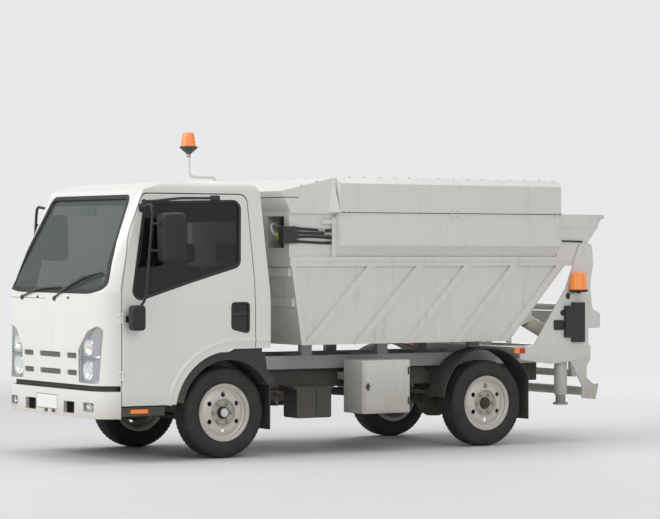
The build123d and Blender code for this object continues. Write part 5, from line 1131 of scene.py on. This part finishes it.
lens = make_piece("roof_beacon_lens", [dome], amber, "cab", 50)
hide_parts("roof_beacon")
cup_dark = moulded("beacon_cup", (0.040, 0.052, 0.047), 0.38)
make_piece("roof_beacon_cup", [turned(CUP, beacon_place, UP, 48)], cup_dark, "cab")
make_piece("roof_beacon_clamp", [turned(CLAMP, beacon_place, UP, 28)], plated, "cab")
rear_places = [(-2.051, side * 0.893, 1.246) for side in (1, -1)]
drum = stepped_lens(0.073, 0.031, 0.060, 0.180, 11)
lit_amber = lens_finish("lamp_amber_lit", (0.70, 0.15, 0.010, 1), (0.92, 0.30, 0.03, 1),
                        (1.0, 0.26, 0.012, 1), 0.35)
lens = make_piece("rear_beacon_lenses", [ribbed(drum, place, 48, 0.010) for place in rear_places],
                  lit_amber, "chassis", 50)
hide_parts("rear_beacons")
make_piece("rear_beacon_bases", [turned(BASE, place, UP, 48) for place in rear_places],
           black_plastic, "chassis")


# The tail lamps: a black case on each end of the rear beam with an amber, a red and a clear lens. The side
# markers: amber and red on the gusset's foot and amber on the cab's step, with black covers on the gusset.
# The headlamps' signal bulbs are made here too, from the same amber.

def facing_side(side, y):
    """Onto an upright plate beside the chassis, its across counted from the front axle."""
    def place(points):
        return np.stack([points[:, 0] + FRONT_X, side * (y + points[:, 2]), points[:, 1]], -1)
    return place


make_piece("headlamp_signals", both_sides(signals), amber, "cab")
# The red lenses glow with a painted glow too.
red = lens_finish("lamp_red", (0.30, 0.008, 0.008, 1), (0.55, 0.02, 0.015, 1), (0.35, 0.0, 0.0, 1), 0.3)
CASE_ROWS = [(0, 0.0), (0, 0.026), (0.003, 0.030), (0.006, 0.030)]
LENS_ROWS = [(0, 0.026), (0, 0.034), (0.003, 0.0385), (0.010, 0.0398)]
SMALL_ROWS = [(0, -0.003), (0, 0.008), (0.003, 0.0115), (0.007, 0.012)]
COVER_ROWS = [(0, -0.003), (0, 0.012), (0.004, 0.016), (0.010, 0.016), (0.012, 0.013)]
ROUND_COVER = [(0, -0.003), (0.025, -0.003), (0.025, 0.003), (0.020, 0.0055), (0.010, 0.006), (0, 0.004)]
TAIL_X, GUSSET_Y = -2.182, 0.809
cases, amber_marks, red_marks, dark_marks = [], [], [], []
lens_sets = {"red": [], "amber": [], "clear": []}
for side in (1, -1):
    on_beam, on_gusset = facing_rear(side, TAIL_X), facing_side(side, GUSSET_Y)
    cases.append(slab(box_loop((0.560, 0.740), (0.710, 0.790), 0.008), CASE_ROWS, on_beam))
    for kind, low, high in (("clear", 0.566, 0.616), ("red", 0.622, 0.678), ("amber", 0.684, 0.734)):
        lens_sets[kind].append(slab(box_loop((low, high), (0.716, 0.784), 0.007), LENS_ROWS, on_beam))
    amber_marks.append(slab(box_loop((-2.790, -2.738), (0.755, 0.801), 0.006), SMALL_ROWS, on_gusset))
    red_marks.append(slab(box_loop((-2.846, -2.794), (0.755, 0.801), 0.006), SMALL_ROWS, on_gusset))
    dark_marks.append(slab(box_loop((-3.242, -3.145), (0.942, 1.024), 0.010), COVER_ROWS, on_gusset))
    for x, z in ((-3.295, 1.223), (-3.238, 1.084)):
        dark_marks.append(turned(ROUND_COVER, (x + FRONT_X, side * GUSSET_Y, z), (0, side, 0), 28))
case = make_piece("tail_lamp_cases", cases, black_plastic, "chassis")
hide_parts("tail_lamps")
make_piece("tail_lamp_red", lens_sets["red"], red, "chassis")
make_piece("tail_lamp_amber", lens_sets["amber"], amber, "chassis")
make_piece("tail_lamp_clear", lens_sets["clear"], silvered, "chassis")
make_piece("side_markers_amber", amber_marks, amber, "chassis")
make_piece("side_markers_red", red_marks, red, "chassis")
make_piece("gusset_covers", dark_marks, black_plastic, "chassis")
step_loop = box_loop((0.705, 0.855), (0.372, 0.404), 0.006)
steps = [slab(step_loop, SMALL_ROWS, facing_side(side, 0.8275)) for side in (1, -1)]
make_piece("step_markers", steps, amber, "cab")


# The refuse body: plate and pressed ribs in the same white, streaked by rain and rubbed dull, with grey
# dust along the lower edges.

body_paint = painted("body_white", (0.76, 0.75, 0.715), (0.42, 0.39, 0.33), 0.95, 0.38, 0.34, 0.25)
dress(body_paint, "body_rails", "tub_sides", "tub_trough", "hopper", "rear_frame", "side_cabinet", "lifter")
hood_paint = painted("hood_white", (0.76, 0.75, 0.715), (0.42, 0.39, 0.33), 0.95, 0.38, 0.30, 0.25)
across, along, height = hood_paint.axes(hood_paint.place())
# Inside the hood's deep opening the paint is darkened: painted shade in the recess.
recess = hood_paint.rise(0.699 - across, 0.0, 0.004)
recess = recess * hood_paint.rise((along - 0.56).maths("ABSOLUTE"), 0.1305, 0.1290)
recess = recess * hood_paint.rise((height - 1.7455).maths("ABSOLUTE"), 0.1250, 0.1235)
groove = hood_paint.rise((height - 2.016).maths("ABSOLUTE"), 0.0045, 0.0030)
groove = groove * hood_paint.rise(across, 0.62, 0.64)
# The dark share joins the painted shade in the opening and the dark seam line on the hood's front.
dark = (recess + groove).maths("MINIMUM", 1.0)
sprayed = hood_paint.given("Base Color")
hood_paint.give("Base Color", hood_paint.blend(dark, sprayed, (0.075, 0.078, 0.075, 1)))
dress(hood_paint, "front_hood")

cover_paint = painted("cover_white", (0.76, 0.75, 0.715), (0.42, 0.39, 0.33), 0.95, 0.38, 0.30, 0.25)
_, along, height = cover_paint.axes(cover_paint.place())
# A dark line at the joint where the upper panel overlaps the lower: painted shade under the overlapping
# edge.
joint = cover_paint.rise((height - 1.901).maths("ABSOLUTE"), 0.0040, 0.0026)
joint = joint * cover_paint.rise(along.maths("ABSOLUTE"), 0.836, 0.844)
sprayed = cover_paint.given("Base Color")
cover_paint.give("Base Color", cover_paint.blend(joint, sprayed, (0.070, 0.072, 0.070, 1)))
dress(cover_paint, "cover")

packer_steel = Finish("packer_steel", {"Metallic": 0.55})
point = packer_steel.place()
scrapes = packer_steel.noise(packer_steel.stretched(point, (30.0, 30.0, 1.2)), 3.0, 5.0, 0.7)
stain = packer_steel.noise(point, 4.0, 5.0, 0.65)
bare = packer_steel.blend(scrapes, (0.30, 0.29, 0.27, 1), (0.46, 0.45, 0.43, 1))
rusted = packer_steel.rise(stain, 0.45, 0.70)
packer_steel.give("Base Color", packer_steel.blend(rusted, bare, (0.17, 0.12, 0.08, 1)))
packer_steel.give("Roughness", 0.40 + scrapes * 0.35)
packer_steel.bump(scrapes, 0.35, 0.0015)
dress(packer_steel, "packer_blade")


# The housing's screws: domed hexagon heads in a row along each top edge, two on each side of the hood's
# slope, and small ones on the joint plates.

def domed(radius, height):
    """The profile of a screw's head with a domed top, its foot 2 mm under the sheet."""
    return [(0, -0.002), (radius, -0.002), (radius, 0.55 * height), (0.8 * radius, 0.85 * height),
            (0.4 * radius, height), (0, height)]


SCREW_PITCH = 0.144
top_x = -1.127 - SCREW_PITCH * np.arange(15)
PLATE_SCREWS = [(x, z) for x in (-1.030, -1.075, -3.115, -3.162) for z in (1.893, 1.909)]
PLATE_SCREWS += [(x, z) for x in (-2.118, -2.067) for z in (1.880, 1.922)]
heads = []
for side in (1, -1):
    on_cover = np.stack([top_x + FRONT_X, np.full(15, side * 0.790), np.full(15, 2.180)], -1)
    on_hood = [(x + FRONT_X, side * 0.770, 2.064 + 0.106 * (-0.498 - x) / 0.459) for x in (-0.695, -0.836)]
    heads.append(copies(turned(domed(0.011, 0.008), (0, 0, 0), UP, 6), np.vstack([on_cover, on_hood])))
    on_plates = [(x + FRONT_X, side * 0.864, z) for x, z in PLATE_SCREWS]
    heads.append(copies(turned(domed(0.0055, 0.004), (0, 0, 0), (0, side, 0), 8), on_plates))
make_piece("housing_screws", heads, plated, "tub", 25)


# The hydraulic hoses: four rubber hoses that sag a little between their crimped steel ends in the
# recess behind the cab, held at both ends.

def threaded(stations, count):
    """A smooth path through a few stations, each coordinate a polynomial of the distance along them."""
    stations = np.array(stations, float)
    run = np.concatenate([[0], np.cumsum(np.linalg.norm(np.diff(stations, axis=0), axis=1))])
    fine = np.linspace(0, run[-1], count)
    return np.stack([np.polyval(np.polyfit(run, row, min(len(run) - 1, 5)), fine) for row in stations.T], -1)


# Each hose: its height, its drop, its sag, and the share of its length where its bright end begins.
HOSES = ((1.774, 0.013, 1, 0.62), (1.740, 0.006, 0.4, 0.78), (1.706, 0.004, -0.6, None),
         (1.672, 0.010, 0.8, None))
HOSE_Y, MANIFOLD_X, POST_X, HOSE_STEPS = 0.776, 0.652, 0.324, 40
hose_parts, crimp_parts, dark_crimps = [], [], []
share = np.linspace(0, 1, HOSE_STEPS)
x = MANIFOLD_X + (POST_X - MANIFOLD_X) * share
for row, (z, drop, bow, silver_from) in enumerate(HOSES):
    sag = 0.007 * np.sin(math.pi * share) * bow
    y = HOSE_Y + 0.003 * np.sin(2 * math.pi * share + row)
    path = np.stack([x, y, z - drop * smooth_step(share, 0.3, 1.0) - sag], -1)
    hose_parts.append(carried(oval(0.021, 0.021, 16), path, UP))
    dark_crimps.append(carried(oval(0.027, 0.027, 16), path[:5], UP))
    if silver_from:
        start = int(silver_from * HOSE_STEPS)
        crimp_parts.append(carried(oval(0.0245, 0.0245, 16), path[start:start + 8], UP))
        crimp_parts.append(carried(oval(0.028, 0.028, 6), path[start + 6:start + 9], UP))
    else:
        dark_crimps.append(carried(oval(0.025, 0.025, 16), path[-6:-1], UP))
hose_finish = mottled("hose_rubber", {"Specular IOR Level": 0.45}, (20.0,),
                      ((0.012, 0.012, 0.013), (0.032, 0.030, 0.028)), (0.45, 0.2))
hose_finish.bump(hose_finish.bands(hose_finish.place(), "DIAGONAL", 220.0), 0.15, 0.0006)
hoses = make_piece("recess_hoses", hose_parts, hose_finish, "tub")
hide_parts("hydraulic_hoses")
make_piece("hose_crimps", crimp_parts, plated, "tub")


# The valve block that the hoses leave, on the hood's front corner, with its plugs, and in the hood's
# opening a filter with a yellow-green cap and a pale return pipe.

def upright(points):
    """The points as they are, for a block whose plan is drawn in X and Y."""
    return points


BLOCK_ROWS = [(0.003, 1.656), (0, 1.659), (0, 1.787), (0.003, 1.790)]
FLAT_PLUG = [(0, -0.002), (0.014, -0.002), (0.014, 0.0), (0.011, 0.0015), (0, 0.0015)]
HEX_PLUG = [(0, -0.002), (0.015, -0.002), (0.015, 0.009), (0.012, 0.011), (0, 0.009)]
FILTER = [(0, -0.004), (0.034, -0.004), (0.034, 0.012), (0.026, 0.018), (0.026, 0.128), (0, 0.130)]
FILTER_CAP = [(0, 0), (0.027, 0), (0.029, 0.004), (0.029, 0.018), (0.027, 0.026), (0.020, 0.033),
              (0.010, 0.037), (0, 0.038)]
FILTER_Y, FILTER_Z = 0.635, 1.716
block_parts = [slab(box_loop((0.649, 0.712), (0.7655, 0.792), 0.003), BLOCK_ROWS, upright),
               slab(box_loop((0.706, 0.769), (0.706, 0.792), 0.005), BLOCK_ROWS, upright)] + dark_crimps
for z in (1.682, 1.724, 1.766):
    block_parts.append(turned(FLAT_PLUG, (0.738, 0.792, z), (0, 1, 0), 20))
    block_parts.append(turned(HEX_PLUG, (0.769, 0.748, z), (1, 0, 0), 6))
block_parts.append(turned(FILTER, (0.575, FILTER_Y, FILTER_Z), (1, 0, 0), 28))
make_piece("valve_block", block_parts, black_plastic, "tub", 30)
cap_plastic = moulded("cap_yellow_green", (0.42, 0.50, 0.02), 0.35)
points, faces = ribbed(FILTER_CAP, (0, 0, 0), 18, 0.03, 108)
points = np.stack([points[:, 2] + 0.702, points[:, 0] + FILTER_Y, points[:, 1] + FILTER_Z], -1)
make_piece("filter_cap", [(points, faces)], cap_plastic, "tub")
RETURN_PIPE = [(0.577, 0.500, 1.800), (0.672, 0.503, 1.808), (0.718, 0.520, 1.795), (0.720, 0.532, 1.762),
               (0.672, 0.545, 1.722), (0.577, 0.552, 1.700)]
pipe = carried(oval(0.020, 0.020, 16), threaded(RETURN_PIPE, 50), (0.1, 1, 0.1))
make_piece("return_pipe", [pipe], moulded("pale_pipe", (0.60, 0.60, 0.57), 0.3), "tub")


# The pull rod at the hopper's side, in its rubber sheath.

ROD = ((-3.242, 1.682), (-3.350, 1.680), (-3.451, 1.678))
rod_path = threaded([(x + FRONT_X, 0.797, z) for x, z in ROD], 12)
rod = carried(oval(0.014, 0.014, 12), rod_path, (0, 1, 0))
make_piece("hopper_rod", [rod], hose_finish, "tub")


# The small things on the frame: zinc straps round the fuel tank, U-bolts over the axles' springs, the
# cabinet's lock and hinges, and dark plates behind the bumper's openings, put there as painted shade in the
# holes.

strap_parts = []
for x in (-0.930, -1.310):
    ring = box_loop((-0.8175, -0.5975), (0.2975, 0.6225), 0.010, 64)
    loop_path = np.stack([np.full(64, x + FRONT_X), ring[:, 0], ring[:, 1]], -1)
    strap_parts.append(carried(oval(0.036, 0.0035, 12, 5), loop_path, (0, 0.02, 1), True))
SPRING_Y, BOLT_HALF = 0.322, 0.034
BOLT_Y = np.array([-BOLT_HALF, -BOLT_HALF, -BOLT_HALF, -0.028, 0.0, 0.028, BOLT_HALF, BOLT_HALF, BOLT_HALF])
BOLT_Z = np.array([0.296, 0.340, 0.415, 0.4225, 0.4245, 0.4225, 0.415, 0.340, 0.296])
bolt_nut = turned([(0, 0), (0.011, 0), (0.011, 0.010), (0, 0.010)], (0, 0, 0), UP, 6)
for axle_x in (FRONT_X, REAR_X):
    for y in (SPRING_Y, -SPRING_Y):
        for x in (axle_x - 0.036, axle_x + 0.036):
            u_path = np.stack([np.full(9, x), BOLT_Y + y, BOLT_Z], -1)
            strap_parts.append(carried(oval(0.012, 0.012, 10), u_path, (1, 0, 0)))
            strap_parts.append(copies(bolt_nut, [(x, y + half, 0.300) for half in (-BOLT_HALF, BOLT_HALF)]))
make_piece("straps_and_u_bolts", strap_parts, plated, "chassis", 30)
LOCK = [(0, -0.002), (0.020, -0.002), (0.020, 0.004), (0.016, 0.006), (0, 0.006)]
KEY_ROWS = [(0, 0.004), (0, 0.009), (0.002, 0.011), (0.005, 0.011)]
HINGE = [(0, -0.03), (0.007, -0.03), (0.007, -0.001), (0.0055, -0.001), (0.0055, 0.001), (0.007, 0.001),
         (0.007, 0.03), (0, 0.03)]
lock_parts = [turned(LOCK, (-1.275 + FRONT_X, 0.840, 0.520), (0, 1, 0), 28),
              slab(box_loop((-1.283, -1.267), (0.490, 0.550), 0.006), KEY_ROWS, facing_side(1, 0.840))]
lock_parts += [turned(HINGE, (-1.664 + FRONT_X, 0.842, z), UP, 16) for z in (0.400, 0.640)]
make_piece("cabinet_lock_and_hinges", lock_parts, black_plastic, "chassis")


def behind_bumper(points):
    """Onto a face 36 mm behind the bumper's front."""
    return on_bumper(points) - np.array([0.036, 0, 0])


# Black plates 36 mm behind the bumper's openings, standing for the shade inside the holes.
WIDE_HOLE_SHADE = [(0, -0.055), (0, -0.001), (0.012, -0.001), (0.014, -0.040), (0.020, -0.044)]
SMALL_HOLE_SHADE = [(0, -0.050), (0, -0.001), (0.006, -0.001), (0.008, -0.036), (0.010, -0.040)]
hole_shade_plates = [slab(box_loop((0.222, 0.428), (0.350, 0.464), 0.010), WIDE_HOLE_SHADE, behind_bumper),
          slab(box_loop((0.022, 0.103), (0.345, 0.387), 0.006), SMALL_HOLE_SHADE, behind_bumper)]
make_piece("bumper_hole_shade_plates", both_sides(hole_shade_plates), black_plastic, "cab")


# The tipping cylinders: beige barrels, ground steel stages and a plated rod on each side.

barrel_paint = painted("cylinder_beige", (0.60, 0.56, 0.46), ROAD_DUST, 0.95, 0.42, 0.2)
dress(barrel_paint, "cylinder_barrels")


def bare_steel(name, colour, gloss):
    """Ground or plated steel with fine drag marks along its length."""
    finish = Finish(name, {"Metallic": 1.0})
    point = finish.place()
    drag = finish.noise(finish.stretched(point, (4.0, 90.0, 90.0)), 6.0, 3.0)
    finish.give("Base Color", finish.blend(drag, colour, tuple(0.82 * part for part in colour[:3]) + (1,)))
    finish.give("Roughness", gloss + drag * 0.12)
    return finish


dress(bare_steel("stage_steel", (0.56, 0.56, 0.56, 1), 0.26),
      "cylinder_stages_outer", "cylinder_stages_inner")
dress(bare_steel("rod_chrome", (0.78, 0.79, 0.80, 1), 0.08), "cylinder_rods")


# The seats: two foam cushions and backs in woven grey-blue cloth, a little crowned.

cloth = Finish("seat_cloth", {"Sheen Weight": 0.3, "Roughness": 0.9})
point = cloth.place()
patch = cloth.noise(point, 30.0, 3.0)
cloth.give("Base Color", cloth.blend(patch, (0.040, 0.043, 0.052, 1), (0.070, 0.075, 0.090, 1)))
cloth.bump(cloth.bands(point, "Z", 260.0) * cloth.bands(point, "Y", 260.0), 0.4, 0.001)


def pad(centre, size, tilt, crown):
    """A crowned pad: a squared-off ball whose faces swell by crown, pulled in along its edges,
    turned about Y by tilt and moved to its centre."""
    u = np.linspace(0, 2 * math.pi, 48, endpoint=False)[None, :]
    v = np.linspace(-math.pi / 2, math.pi / 2, 25)[:, None]

    def squared(value, power):
        """A power that keeps the sign."""
        return np.sign(value) * np.abs(value) ** power

    x = squared(np.cos(v), 0.32) * squared(np.cos(u), 0.32)
    y = squared(np.cos(v), 0.32) * squared(np.sin(u), 0.32)
    z = squared(np.sin(v), 0.42) + 0 * u
    swell = 1 + crown * (1 - x * x) * (1 - y * y)
    x, y, z = x * size[0] / 2, y * size[1] / 2, z * swell * size[2] / 2
    turn = math.radians(tilt)
    points = np.stack([centre[0] + x * math.cos(turn) + z * math.sin(turn), centre[1] + y,
                       centre[2] - x * math.sin(turn) + z * math.cos(turn)], -1)
    return points.reshape(-1, 3), grid_faces(25, 48, False, True)


seat_surfaces = []
for y_low, y_high in ((0.16, 0.64), (-0.66, 0.10)):
    middle, wide = (y_low + y_high) / 2, y_high - y_low
    seat_surfaces.append(pad((1.419, middle, 0.976), (0.49, wide - 0.01, 0.118), -2, 0.12))
    seat_surfaces.append(pad((1.094, middle, 1.200), (0.570, wide - 0.01, 0.110), 96.5, 0.12))
    seat_surfaces.append(pad((1.055, middle, 1.578), (0.155, 0.26, 0.082), 92, 0.10))
seats = make_piece("cab_seats", seat_surfaces, cloth, "cab", 60)
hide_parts("seats")
